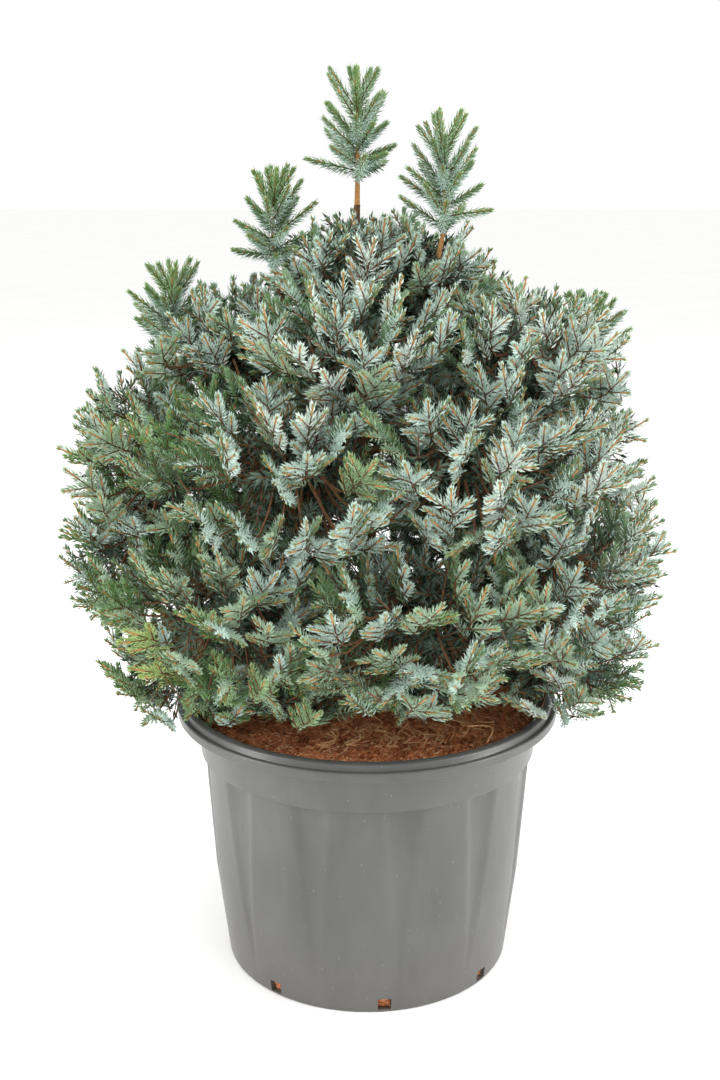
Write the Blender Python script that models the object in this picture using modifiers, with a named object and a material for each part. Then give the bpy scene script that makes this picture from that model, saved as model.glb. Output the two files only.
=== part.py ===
"""A dwarf Serbian spruce in a round nursery pot, modelled as separate closed solids.

Metres, +Z up. The origin is the middle of the pot's flat underside and -Y is the front.
The pot is a thin shell with a rolled lip, a band under it, shallow upright flutes and
drain windows at its foot. The root ball fills it, the trunk stands on that, boughs rise
from the trunk and carry the masses of foliage, and the masses together make the crown.
"""

import math
from dataclasses import dataclass

import bmesh
import bpy
import numpy as np
from mathutils import Matrix, Vector

# Pot: radii and heights of its outside, from the foot to the lip.
POT_STEPS = 44
FOOT_RADIUS = 0.1995
FOOT_ROUND = 0.004
BULGE_RADIUS = 0.2160
BULGE_HEIGHT = 0.134
LEDGE_RADIUS = 0.2285
LEDGE_HEIGHT = 0.3090
BAND_STEP = 0.0050
BAND_TOP_RADIUS = 0.2385
BAND_TOP_HEIGHT = 0.3615
LIP_RADIUS = 0.2640
LIP_DEPTH = 0.0225
LIP_CROWN_RADIUS = 0.2500
MOUTH_RADIUS = 0.2455
POT_HEIGHT = 0.3860
GROOVE_OUT = 0.0080
GROOVE_DOWN = 0.0090
EDGE = 0.0015
LIP_WALL = 0.0035
BODY_WALL = 0.0085
FLOOR_THICKNESS = 0.0045

# Flutes: shallow troughs cut by cones that come to a point at the foot.
FLUTES = 12
FIRST_FLUTE = -49.0
FLUTE_WIDTH = 0.054
FLUTE_DEPTH = 0.006
FLUTE_FOOT_HEIGHT = 0.012
FLUTE_SIDES = 32

# Drain windows at the foot of the wall.
DRAINS = 8
FIRST_DRAIN = -38.5
DRAIN_WIDTH = 0.018
DRAIN_LOW = 0.0045
DRAIN_HIGH = 0.0215
DRAIN_DEPTH = 0.030

# Root ball, filling the pot to just under its lip.
CLEARANCE = 0.0003
SOIL_TOP = 0.3640

# Trunk: it leans a little to the left and its foot spreads in a few buttresses.
TRUNK_TOP = 1.0500
TRUNK_LEAN = (-0.0140, 0.0040)
TRUNK_SWAY = 0.0060
TRUNK_FOOT_RADIUS = 0.0190
TRUNK_TIP_RADIUS = 0.0042
TRUNK_THINNING = 0.85
TRUNK_POINTS = 12
BUTTRESSES = 5
FIRST_BUTTRESS = 20.0
BUTTRESS_REACH = 0.034
BUTTRESS_RISE = 0.050
BUTTRESS_RADII = (0.008, 0.010, 0.0065)
BUTTRESS_KNEE = (0.30, 0.40)
BURIED = 0.010
GROUND_CUTTER = (0.30, 0.30, 0.10)

# Boughs: half their length is nearly level, then they turn up to the mass they carry.
BOUGH_POINTS = 5
BOUGH_SAG = 0.30
BOUGH_SLOPE = 0.25
BOUGH_TAPER = 1.55
BOUGH_SPIRAL = 0.080
LOWEST_START = 0.035
ENTRY = 0.80

# Foliage: a core that fills most of a mass, and toothed sprays that stand out of it.
CORE_SHARE = 0.76
CORE_FILL = 0.88
CORE_DETAIL = 2
CELL_MARGIN = 0.035
LIMB_MARGIN = 0.007
POT_MARGIN = 0.012
REACH_STEPS = 48
SPRAY_LENGTH = 0.105
SPRAY_WIDTH = 0.066
SPRAY_THICKNESS = 0.013
SPRAY_LIFT = 0.42
SPRAY_ROLL = 0.6
SPRAY_SUNK_MOST = 0.80
SPRAYS_PER_MASS = 8
TRIES_PER_SPRAY = 12
NEARLY_UP = (0.03, 0.0, 1.0)
SPRAY_SIZES = (1.0, 0.86, 0.72, 0.58)
TIP_SHARES = (0.90, 0.985)
STEM_BEND = 0.010
# Outline of a spray, from root to tip: place along it and share of its half width.
TEETH = ((0.52, 0.40), (0.82, 1.00), (0.77, 0.28))
RIDGE_PLACE = 0.50

# Leaders: upright shoots in a spiral round a stem.
LEADER_TURN = 0.25
LEADER_SHOOTS = 12
SHOOT_PLACES = (0.14, 0.78)
SHOOT_RISES = (0.45, 1.50)
SHOOT_STRAY = 12.0
RISE_STRAY = 0.10
SHOOT_WIDTH = 0.032
SHOOT_THICKNESS = 0.014
LEADER_STEM_SHARE = 0.6
STEM_TAPER = 0.7
GOLDEN_ANGLE = 137.5

SEED = 41


@dataclass(frozen=True)
class Tier:
    """A ring of masses at about one height, with their half sizes outwards, sideways and up."""

    name: str
    half_sizes: tuple
    bough_rise: float
    bough_radius: float
    members: tuple


# Each member: degrees from the front towards +X, reach from the pot's axis, height, scale.
TIERS = (
    Tier("skirt", (0.135, 0.180, 0.088), 0.030, 0.0040, (
        (-80, 0.376, 0.450, 1.00), (-32, 0.290, 0.476, 0.76), (26, 0.275, 0.476, 0.76),
        (80, 0.402, 0.466, 1.00), (140, 0.372, 0.458, 1.00), (205, 0.372, 0.458, 1.00))),
    Tier("low", (0.165, 0.205, 0.128), 0.110, 0.0046, (
        (-93, 0.452, 0.608, 1.00), (-40, 0.424, 0.582, 1.00), (14, 0.416, 0.587, 1.00),
        (56, 0.434, 0.606, 1.00), (98, 0.432, 0.604, 1.00), (148, 0.428, 0.592, 1.00),
        (207, 0.430, 0.600, 1.00))),
    Tier("middle", (0.170, 0.235, 0.134), 0.120, 0.0042, (
        (-84, 0.420, 0.740, 1.00), (-25, 0.390, 0.747, 1.00), (32, 0.390, 0.757, 1.00),
        (86, 0.392, 0.738, 1.00), (146, 0.390, 0.742, 1.00), (208, 0.390, 0.742, 1.00))),
    Tier("upper", (0.150, 0.180, 0.114), 0.150, 0.0038, (
        (-82, 0.326, 0.862, 1.00), (-12, 0.304, 0.878, 1.00), (66, 0.362, 0.862, 1.00),
        (132, 0.325, 0.866, 1.00), (200, 0.315, 0.867, 1.00))),
    Tier("shoulder", (0.115, 0.140, 0.096), 0.030, 0.0034, (
        (-24, 0.166, 0.962, 1.00), (88, 0.186, 0.962, 1.00), (205, 0.170, 0.957, 1.00))),
)
# Tiers whose masses grow straight from the trunk on a stem of their own.
TRUNK_BORNE = ("skirt", "shoulder")


@dataclass(frozen=True)
class Leader:
    """An upright leading shoot: middle and half sizes of its space, and where its bough starts."""

    name: str
    centre: tuple
    half_sizes: tuple
    bough_start: float
    bough_radius: float


LEADERS = (
    Leader("top_leader", (-0.014, 0.004, 1.130), (0.078, 0.078, 0.098), 0.0, TRUNK_TIP_RADIUS),
    Leader("right_leader", (0.090, -0.020, 1.070), (0.076, 0.076, 0.106), 0.800, 0.0036),
    Leader("left_leader", (-0.117, 0.000, 1.018), (0.060, 0.060, 0.086), 0.760, 0.0034),
    Leader("far_left_leader", (-0.248, -0.010, 0.905), (0.078, 0.070, 0.080), 0.640, 0.0034),
    Leader("far_right_leader", (0.285, 0.020, 0.874), (0.070, 0.066, 0.066), 0.660, 0.0034),
)


@dataclass(frozen=True)
class Mass:
    """One mass of foliage in its own space, an ellipsoid shared out among neighbours."""

    name: str
    kind: str
    centre: np.ndarray
    axes: np.ndarray
    half_sizes: np.ndarray
    start: np.ndarray
    bough_radius: float


def unit(vector):
    """The vector at length 1."""
    return vector / np.linalg.norm(vector)


def around(degrees):
    """The level directions outwards and sideways at an angle from the front."""
    angle = math.radians(degrees)
    outwards = np.array([math.sin(angle), -math.cos(angle), 0.0])
    sideways = np.array([math.cos(angle), math.sin(angle), 0.0])
    return outwards, sideways


def trunk_axis(height):
    """The middle of the trunk at a height: a lean from the foot with one slow sway."""
    share = (height - SOIL_TOP) / (TRUNK_TOP - SOIL_TOP)
    sway = TRUNK_SWAY * math.sin(math.tau * share)
    return np.array([TRUNK_LEAN[0] * share + sway, TRUNK_LEAN[1] * share - sway / 2, height])


def trunk_radius(height):
    """The trunk's radius at a height, thinning faster towards its tip."""
    share = (height - SOIL_TOP) / (TRUNK_TOP - SOIL_TOP)
    return TRUNK_FOOT_RADIUS + (TRUNK_TIP_RADIUS - TRUNK_FOOT_RADIUS) * share**TRUNK_THINNING


def all_masses():
    """Every mass of the crown, tier by tier and then the leaders."""
    found = []
    for tier in TIERS:
        level = sum(member[2] for member in tier.members) / len(tier.members)
        for number, (degrees, reach, height, scale) in enumerate(tier.members, 1):
            outwards, sideways = around(degrees)
            sizes = np.array(tier.half_sizes) * scale
            centre = outwards * (reach - sizes[0]) + np.array([0.0, 0.0, height])
            climb = BOUGH_SPIRAL * (number / len(tier.members) - 0.5)
            start = trunk_axis(max(level - tier.bough_rise + climb, SOIL_TOP + LOWEST_START))
            axes = np.stack([outwards, sideways, [0.0, 0.0, 1.0]])
            name = f"{tier.name}_{number}"
            found.append(Mass(name, tier.name, centre, axes, sizes, start, tier.bough_radius))
    for leader in LEADERS:
        start = trunk_axis(leader.bough_start or TRUNK_TOP)
        found.append(
            Mass(leader.name, "leader", np.array(leader.centre), np.eye(3),
                 np.array(leader.half_sizes), start, leader.bough_radius)
        )
    return found


def entry_of(mass):
    """Where the bough ends in the mass, and its direction there."""
    if mass.kind == "leader":
        foot = mass.centre - np.array([0.0, 0.0, ENTRY * mass.half_sizes[2]])
        inwards = unit(mass.start * (1, 1, 0) - mass.centre * (1, 1, 0))
        direction = unit(np.array([0.0, 0.0, 1.0]) - LEADER_TURN * inwards)
        return foot, direction
    direction = unit(mass.centre - mass.start)
    spread = 1 / np.linalg.norm((mass.axes @ direction) / mass.half_sizes)
    return mass.centre - direction * ENTRY * spread, direction


def bough_path(mass):
    """Points of the bough from the trunk's middle: level at first, then up into the mass."""
    end, direction = entry_of(mass)
    span = np.linalg.norm(end - mass.start)
    level = unit((end - mass.start) * (1, 1, BOUGH_SLOPE))
    first = mass.start + level * span * BOUGH_SAG
    second = end - direction * span * BOUGH_SAG
    share = np.linspace(0, 1, BOUGH_POINTS)[:, None]
    return (
        (1 - share) ** 3 * mass.start
        + 3 * (1 - share) ** 2 * share * first
        + 3 * (1 - share) * share**2 * second
        + share**3 * end
    )


def stem_foot(mass):
    """Where the stem inside a mass starts, just clear of its limb's tip, and its direction."""
    if mass.name == "top_leader":
        limb = np.array(trunk_points()[0])
    elif has_bough(mass):
        limb = bough_path(mass)
    else:
        return mass.start, unit(mass.centre - mass.start)
    direction = unit(limb[-1] - limb[-2])
    return limb[-1] + direction * CLEARANCE, direction


def limb_lines(masses):
    """Each limb as its points and their radii: the trunk first, then the boughs."""
    heights = np.linspace(SOIL_TOP, TRUNK_TOP, TRUNK_POINTS)
    radii = np.array([trunk_radius(height) for height in heights])
    radii[0] = BUTTRESS_REACH + BUTTRESS_RADII[-1]
    lines = [(np.array([trunk_axis(height) for height in heights]), radii)]
    for mass in masses:
        if has_bough(mass):
            radii = mass.bough_radius * np.linspace(BOUGH_TAPER, 1.0, BOUGH_POINTS)
            lines.append((bough_path(mass), radii))
    return lines


def has_bough(mass):
    """True if a bough of its own carries the mass, and not the trunk."""
    return mass.kind not in TRUNK_BORNE and mass.name != "top_leader"


def nearness(points, mass):
    """How far out in a mass the points lie: 0 at its middle, 1 on its ellipsoid."""
    return np.linalg.norm(((points - mass.centre) @ mass.axes.T) / mass.half_sizes, axis=-1)


def clear_of_limbs(points, limbs):
    """True for each point that stays clear of every limb."""
    clear = np.ones(points.shape[:-1], bool)
    for line, radii in limbs:
        for start, end, radius in zip(line, line[1:], radii):
            along = end - start
            share = np.clip(((points - start) @ along) / (along @ along), 0, 1)[..., None]
            away = np.linalg.norm(points - start - share * along, axis=-1)
            clear &= away > radius + LIMB_MARGIN
    return clear


def clear_of_pot(points):
    """True for each point above the root ball, or outside and above the pot's lip."""
    out = np.hypot(points[..., 0], points[..., 1])
    over = points[..., 2] > np.where(out < MOUTH_RADIUS, SOIL_TOP, POT_HEIGHT) + POT_MARGIN
    return over | (out > LIP_RADIUS + POT_MARGIN)


def own_space(points, mass, masses, limbs):
    """True for each point in the mass's own space, which no neighbour, limb or pot takes."""
    inside = nearness(points, mass)
    free = (inside <= 1.0) & clear_of_pot(points) & clear_of_limbs(points, limbs)
    for other in masses:
        if other is not mass:
            free &= inside + CELL_MARGIN < nearness(points, other)
    return free


def reach_of(directions, mass, masses, limbs):
    """How far the mass's space goes each way from its middle, and if it ends in open air."""
    spread = 1 / np.linalg.norm((directions @ mass.axes.T) / mass.half_sizes, axis=1)
    shares = np.linspace(0, 0.999, REACH_STEPS)
    lengths = spread[:, None] * shares
    points = mass.centre + directions[:, None, :] * lengths[..., None]
    free = own_space(points, mass, masses, limbs)
    free[:, 0] = True
    whole = free.all(axis=1)
    last = np.where(whole, REACH_STEPS - 1, np.argmin(free, axis=1) - 1)
    return lengths[np.arange(len(directions)), last], whole


def golden_directions(count):
    """Directions spread evenly over a ball, on a golden spiral."""
    place = np.arange(count) + 0.5
    height = 1 - 2 * place / count
    angle = math.pi * (1 + math.sqrt(5)) * place
    level = np.sqrt(1 - height**2)
    return np.stack([level * np.cos(angle), level * np.sin(angle), height], axis=1)


def clear_scene():
    """Removes every object that the scene holds."""
    for obj in list(bpy.data.objects):
        bpy.data.objects.remove(obj, do_unlink=True)


def make_material(name, color, roughness):
    """A plain Principled material."""
    made = bpy.data.materials.new(name)
    made.use_nodes = True
    shader = made.node_tree.nodes["Principled BSDF"]
    shader.inputs["Base Color"].default_value = (*color, 1.0)
    shader.inputs["Roughness"].default_value = roughness
    shader.inputs["Metallic"].default_value = 0.0
    made.diffuse_color = (*color, 1.0)
    return made


def make_collection(name):
    """A new collection in the scene."""
    made = bpy.data.collections.new(name)
    bpy.context.scene.collection.children.link(made)
    return made


def add_object(name, mesh, collection, material=None):
    """A new object of a mesh or curve, in a collection."""
    made = bpy.data.objects.new(name, mesh)
    collection.objects.link(made)
    if material:
        mesh.materials.append(material)
    return made


def mesh_from(bm, name):
    """A mesh of what a bmesh holds, with its faces pointing out."""
    bmesh.ops.recalc_face_normals(bm, faces=bm.faces)
    mesh = bpy.data.meshes.new(name)
    bm.to_mesh(mesh)
    bm.free()
    return mesh


def lathe(name, profile, collection, material):
    """A solid turned round Z from a profile of radius and height that starts and ends on Z."""
    mesh = bpy.data.meshes.new(name)
    edges = [(index, index + 1) for index in range(len(profile) - 1)]
    mesh.from_pydata([(radius, 0.0, height) for radius, height in profile], edges, [])
    made = add_object(name, mesh, collection, material)
    screw = made.modifiers.new("Turn", "SCREW")
    screw.axis = "Z"
    screw.steps = POT_STEPS
    screw.render_steps = POT_STEPS
    screw.use_merge_vertices = True
    screw.merge_threshold = 0.00001
    screw.use_smooth_shade = False
    return made


def subtract(target, cutter, name):
    """A live Boolean that takes one object away from another."""
    cut = target.modifiers.new(name, "BOOLEAN")
    cut.operation = "DIFFERENCE"
    cut.solver = "EXACT"
    cut.object = cutter


def hide_cutter(obj):
    """Keeps a cutter out of the render and shows it as wire."""
    obj.hide_render = True
    obj.display_type = "WIRE"


def wall_radius(height):
    """The pot wall's outer radius below the band: straight to the bulge, then to the ledge."""
    heights = (0.0, BULGE_HEIGHT, LEDGE_HEIGHT)
    return float(np.interp(height, heights, (FOOT_RADIUS, BULGE_RADIUS, LEDGE_RADIUS)))


def inner_profile():
    """The inside of the pot from its floor up to the mouth, as radius and height."""
    floor = wall_radius(FLOOR_THICKNESS) - BODY_WALL
    return [
        (floor, FLOOR_THICKNESS),
        (BULGE_RADIUS - BODY_WALL, BULGE_HEIGHT),
        (LEDGE_RADIUS - BODY_WALL, LEDGE_HEIGHT),
        (BAND_TOP_RADIUS - LIP_WALL, BAND_TOP_HEIGHT),
        (MOUTH_RADIUS, POT_HEIGHT - EDGE),
    ]


def pot_profile():
    """The whole closed outline of the pot: inside, lip, band, wall, foot and underside."""
    lip_low = POT_HEIGHT - LIP_DEPTH
    outside = [
        (LIP_CROWN_RADIUS, POT_HEIGHT),
        (LIP_CROWN_RADIUS + 4 * EDGE, POT_HEIGHT - 2 * EDGE),
        (LIP_CROWN_RADIUS + GROOVE_OUT, POT_HEIGHT - GROOVE_DOWN),
        (LIP_RADIUS - EDGE, POT_HEIGHT - GROOVE_DOWN - EDGE),
        (LIP_RADIUS, lip_low + EDGE),
        (LIP_RADIUS - EDGE, lip_low),
        (BAND_TOP_RADIUS + EDGE, lip_low),
        (BAND_TOP_RADIUS, BAND_TOP_HEIGHT - EDGE),
        (LEDGE_RADIUS + BAND_STEP, LEDGE_HEIGHT + EDGE / 2),
        (LEDGE_RADIUS, LEDGE_HEIGHT - EDGE / 2),
        (BULGE_RADIUS, BULGE_HEIGHT),
        (FOOT_RADIUS, FOOT_ROUND),
        (FOOT_RADIUS - FOOT_ROUND, 0.0),
    ]
    return [(0.0, FLOOR_THICKNESS)] + inner_profile() + outside + [(0.0, 0.0)]


def flute_cutters(collection):
    """Cones that stand outside the wall, each biting a trough that fades out at the foot."""
    top = LEDGE_HEIGHT - EDGE / 2
    half = FLUTE_WIDTH / 2
    cone_radius = (half**2 + FLUTE_DEPTH**2) / (2 * FLUTE_DEPTH)
    top_middle = wall_radius(top) - FLUTE_DEPTH + cone_radius
    foot_middle = wall_radius(FLUTE_FOOT_HEIGHT)
    for number in range(FLUTES):
        outwards, sideways = around(FIRST_FLUTE + 360 * number / FLUTES)
        bm = bmesh.new()
        bmesh.ops.create_cone(
            bm, cap_ends=True, segments=FLUTE_SIDES,
            radius1=0.0, radius2=cone_radius, depth=top - FLUTE_FOOT_HEIGHT,
        )
        for vert in bm.verts:
            share = 0.5 + vert.co.z / (top - FLUTE_FOOT_HEIGHT)
            middle = foot_middle + (top_middle - foot_middle) * share
            height = FLUTE_FOOT_HEIGHT + (top - FLUTE_FOOT_HEIGHT) * share
            place = outwards * (middle + vert.co.x) + sideways * vert.co.y
            vert.co = (place[0], place[1], height)
        add_object(f"flute_cutter_{number + 1}", mesh_from(bm, "flute"), collection)


def drain_cutters(collection):
    """Upright blocks that open the foot of the wall, one to each drain."""
    for number in range(DRAINS):
        outwards, sideways = around(FIRST_DRAIN + 360 * number / DRAINS)
        place = outwards * (FOOT_RADIUS - BODY_WALL / 2)
        axes = np.column_stack([outwards, sideways, (0.0, 0.0, 1.0)])
        bm = bmesh.new()
        bmesh.ops.create_cube(bm, size=1.0)
        size = Matrix.Diagonal((DRAIN_DEPTH, DRAIN_WIDTH, DRAIN_HIGH - DRAIN_LOW))
        turn = Matrix(axes.tolist()) @ size
        middle = Vector((place[0], place[1], (DRAIN_LOW + DRAIN_HIGH) / 2))
        bmesh.ops.transform(bm, matrix=Matrix.Translation(middle) @ turn.to_4x4(), verts=bm.verts)
        add_object(f"drain_cutter_{number + 1}", mesh_from(bm, "drain"), collection)


def make_pot(parts, cutters, material):
    """The pot: a turned shell, fluted and opened at its foot."""
    pot = lathe("pot", pot_profile(), parts, material)
    flute_cutters(cutters)
    drain_cutters(cutters)
    for cutter in list(cutters.objects):
        hide_cutter(cutter)
    cut = pot.modifiers.new("Flutes and drains", "BOOLEAN")
    cut.operation = "DIFFERENCE"
    cut.solver = "EXACT"
    cut.operand_type = "COLLECTION"
    cut.collection = cutters
    return pot


def make_soil(parts, material):
    """The root ball: it fills the inside of the pot, all round its clearance."""
    low, bulge, ledge, band, _ = inner_profile()
    profile = [
        (0.0, SOIL_TOP),
        (band[0] - CLEARANCE, SOIL_TOP),
        (band[0] - CLEARANCE, band[1]),
        (ledge[0] - CLEARANCE, ledge[1]),
        (bulge[0] - CLEARANCE, bulge[1]),
        (low[0] - CLEARANCE, low[1] + CLEARANCE),
        (0.0, FLOOR_THICKNESS + CLEARANCE),
    ]
    return lathe("root_ball", profile, parts, material)


def limb_mesh(name, points, radii):
    """A round tapering limb along its points, as a closed mesh."""
    curve = bpy.data.curves.new(name, "CURVE")
    curve.dimensions = "3D"
    curve.bevel_depth = 1.0
    curve.bevel_resolution = 1
    curve.use_fill_caps = True
    spline = curve.splines.new("POLY")
    spline.points.add(len(points) - 1)
    for place, point, radius in zip(spline.points, points, radii):
        place.co = (*point, 1.0)
        place.radius = radius
    holder = bpy.data.objects.new(name, curve)
    bpy.context.scene.collection.objects.link(holder)
    bpy.context.view_layer.update()
    graph = bpy.context.evaluated_depsgraph_get()
    mesh = bpy.data.meshes.new_from_object(holder.evaluated_get(graph))
    bpy.data.objects.remove(holder, do_unlink=True)
    bm = bmesh.new()
    bm.from_mesh(mesh)
    bmesh.ops.remove_doubles(bm, verts=bm.verts, dist=0.00001)
    bpy.data.meshes.remove(mesh)
    return mesh_from(bm, name)


def fuse(name, meshes, parts, material, trims=None):
    """One solid of many overlapping ones, joined from a collection and then trimmed."""
    rest = make_collection(f"{name}_pieces")
    for index, mesh in enumerate(meshes[1:]):
        add_object(f"{name}_piece_{index}", mesh, rest)
    base = add_object(name, meshes[0], parts)
    union = base.modifiers.new("Join", "BOOLEAN")
    union.operation = "UNION"
    union.solver = "EXACT"
    union.operand_type = "COLLECTION"
    union.collection = rest
    if trims:
        trim = base.modifiers.new("Trim at limbs", "BOOLEAN")
        trim.operation = "DIFFERENCE"
        trim.solver = "EXACT"
        trim.operand_type = "COLLECTION"
        trim.collection = trims
    bpy.context.view_layer.update()
    graph = bpy.context.evaluated_depsgraph_get()
    joined = bpy.data.meshes.new_from_object(base.evaluated_get(graph))
    base.modifiers.clear()
    base.data = keep_largest_body(joined)
    base.data.materials.clear()
    base.data.materials.append(material)
    for piece in list(rest.objects):
        bpy.data.objects.remove(piece, do_unlink=True)
    bpy.data.collections.remove(rest)
    return base


def keep_largest_body(mesh):
    """Drops the inner walls of sealed hollows and any loose scraps from a joined mesh."""
    bm = bmesh.new()
    bm.from_mesh(mesh)
    bmesh.ops.triangulate(bm, faces=bm.faces)
    left = set(bm.verts)
    bodies = []
    while left:
        body = [left.pop()]
        for vert in body:
            for edge in vert.link_edges:
                other = edge.other_vert(vert)
                if other in left:
                    left.discard(other)
                    body.append(other)
        bodies.append(body)
    largest = max(bodies, key=len)
    spare = [vert for body in bodies if body is not largest for vert in body]
    bmesh.ops.delete(bm, geom=spare, context="VERTS")
    bm.to_mesh(mesh)
    bm.free()
    return mesh


def trunk_points(grow=0.0):
    """The trunk's points and radii, a little below the root ball's top to its tip."""
    heights = np.linspace(SOIL_TOP - BURIED, TRUNK_TOP, TRUNK_POINTS)
    points = [trunk_axis(height) for height in heights]
    radii = [trunk_radius(max(height, SOIL_TOP)) + grow for height in heights]
    return points, radii


def make_trunk(parts, cutters, material):
    """The trunk with its buttresses, cut flat where it stands on the root ball."""
    meshes = [limb_mesh("trunk_stem", *trunk_points())]
    for number in range(BUTTRESSES):
        outwards, _ = around(FIRST_BUTTRESS + 360 * number / BUTTRESSES)
        up, out = BUTTRESS_KNEE
        high = trunk_axis(SOIL_TOP + BUTTRESS_RISE)
        knee = trunk_axis(SOIL_TOP + BUTTRESS_RISE * up) + outwards * BUTTRESS_REACH * out
        low = trunk_axis(SOIL_TOP - BURIED) + outwards * BUTTRESS_REACH
        meshes.append(limb_mesh(f"buttress_{number}", (high, knee, low), BUTTRESS_RADII))
    trunk = fuse("trunk", meshes, parts, material)
    bm = bmesh.new()
    bmesh.ops.create_cube(bm, size=1.0)
    middle = Matrix.Translation((0.0, 0.0, SOIL_TOP + CLEARANCE - GROUND_CUTTER[2] / 2))
    below = middle @ Matrix.Diagonal((*GROUND_CUTTER, 1.0))
    bmesh.ops.transform(bm, matrix=below, verts=bm.verts)
    ground = add_object("ground_cutter", mesh_from(bm, "ground"), cutters)
    hide_cutter(ground)
    subtract(trunk, ground, "Flat foot")
    return trunk


def limb_clearances(limbs, cutters):
    """Every limb grown by the clearance: the trunk trims the boughs, and all trim the masses."""
    grown = [trunk_points(CLEARANCE)] + [(line, radii + CLEARANCE) for line, radii in limbs[1:]]
    made = []
    for number, (line, radii) in enumerate(grown):
        mesh = limb_mesh("limb_clearance", line, radii)
        made.append(add_object(f"limb_cutter_{number}", mesh, cutters))
        hide_cutter(made[-1])
    return made


def make_bough(mass, parts, clearance, material):
    """The limb from the trunk to a mass."""
    radii = mass.bough_radius * np.linspace(BOUGH_TAPER, 1.0, BOUGH_POINTS)
    name = f"bough_{mass.name}"
    bough = add_object(name, limb_mesh(name, bough_path(mass), radii), parts, material)
    subtract(bough, clearance, "Trim at trunk")
    return bough


def core_mesh(mass, masses, limbs):
    """A ball drawn out to a share of the mass's space, fullest towards its neighbours."""
    bm = bmesh.new()
    bmesh.ops.create_icosphere(bm, subdivisions=CORE_DETAIL, radius=1.0)
    directions = np.array([vert.co.normalized() for vert in bm.verts])
    reach, whole = reach_of(directions, mass, masses, limbs)
    shares = np.where(whole, CORE_SHARE, CORE_FILL)
    for vert, direction, length in zip(bm.verts, directions, reach * shares):
        vert.co = mass.centre + direction * length
    return mesh_from(bm, f"{mass.name}_core")


def spray_points(root, tip, roll, width, thickness):
    """The outline and the two ridge points of a toothed spray, thick in its middle."""
    axis = tip - root
    along = unit(axis)
    level = unit(np.cross(along, NEARLY_UP))
    over = np.cross(level, along)
    side = math.cos(roll) * level + math.sin(roll) * over
    face = np.cross(side, along)
    right = [root + axis * place + side * width / 2 * share for place, share in TEETH]
    left = [root + axis * place - side * width / 2 * share for place, share in reversed(TEETH)]
    outline = [root, *right, tip, *left]
    ridge = root + axis * RIDGE_PLACE
    return outline, (ridge + face * thickness / 2, ridge - face * thickness / 2)


def spray_mesh(outline, ridges):
    """A closed solid between a toothed outline and a ridge point on each of its sides."""
    bm = bmesh.new()
    ring = [bm.verts.new(point) for point in outline]
    for ridge in ridges:
        top = bm.verts.new(ridge)
        for first, second in zip(ring, ring[1:] + ring[:1]):
            bm.faces.new((first, second, top))
    return mesh_from(bm, "spray")


def outer_directions(mass, masses, limbs, count):
    """Directions from the mass's middle that end in open air on the crown's outside."""
    tries = golden_directions(count * TRIES_PER_SPRAY)
    _, whole = reach_of(tries, mass, masses, limbs)
    return spread_out(tries[whole], count)


def spread_out(directions, count):
    """The given number of directions, each taken as far as it can be from those before."""
    if len(directions) <= count:
        return directions
    chosen = [int(np.argmax(directions[:, 2]))]
    nearest = directions @ directions[chosen[0]]
    while len(chosen) < count:
        chosen.append(int(np.argmin(nearest)))
        nearest = np.maximum(nearest, directions @ directions[chosen[-1]])
    return directions[chosen]


def sprays_of(mass, masses, limbs, rng):
    """The sprays that stand out of a mass's core, leaving out any that would leave its space."""
    directions = outer_directions(mass, masses, limbs, SPRAYS_PER_MASS)
    reach, _ = reach_of(directions, mass, masses, limbs)
    shares = rng.uniform(*TIP_SHARES, len(directions))
    rolls = rng.uniform(-SPRAY_ROLL, SPRAY_ROLL, len(directions))
    meshes = []
    for direction, length, share, roll in zip(directions, reach, shares, rolls):
        tip = mass.centre + direction * length * share
        back = unit(direction + np.array([0.0, 0.0, SPRAY_LIFT]))
        for size in SPRAY_SIZES:
            root = tip - back * min(SPRAY_LENGTH, length * SPRAY_SUNK_MOST)
            outline, ridges = spray_points(
                root, tip, roll, SPRAY_WIDTH * size, SPRAY_THICKNESS * size
            )
            if own_space(np.array([*outline, *ridges]), mass, masses, limbs).all():
                meshes.append(spray_mesh(outline, ridges))
                break
    return meshes


def leader_shoots(mass, masses, limbs, rng):
    """Slim upright shoots in a spiral up the leader's stem, and one at its tip."""
    foot, _ = stem_foot(mass)
    top = mass.centre + np.array([0.0, 0.0, mass.half_sizes[2]]) * TIP_SHARES[1]
    meshes = []
    for number in range(LEADER_SHOOTS):
        share = number / (LEADER_SHOOTS - 1)
        root = foot + (top - foot) * np.interp(share, (0, 1), SHOOT_PLACES)
        outwards, _ = around(GOLDEN_ANGLE * number + rng.uniform(-1, 1) * SHOOT_STRAY)
        rise = np.interp(share, (0, 1), SHOOT_RISES) + rng.uniform(-1, 1) * RISE_STRAY
        way = unit(outwards + np.array([0.0, 0.0, rise]))
        room = shoot_room(root, way, mass, masses, limbs)
        if room > SHOOT_WIDTH:
            tip = root + way * room
            outline, ridges = spray_points(root, tip, 0.0, SHOOT_WIDTH, SHOOT_THICKNESS)
            meshes.append(spray_mesh(outline, ridges))
    root = foot + (top - foot) * SHOOT_PLACES[1]
    outline, ridges = spray_points(root, top, 0.0, SHOOT_WIDTH, SHOOT_THICKNESS)
    meshes.append(spray_mesh(outline, ridges))
    return meshes


def shoot_room(root, way, mass, masses, limbs):
    """How far a shoot can grow from its root before it would leave the mass's space."""
    steps = np.linspace(SHOOT_WIDTH / 2, 2 * max(mass.half_sizes), REACH_STEPS)
    free = own_space(root + way * steps[:, None], mass, masses, limbs)
    if free.all():
        return steps[-1]
    return steps[max(int(np.argmin(free)) - 1, 0)]


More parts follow.
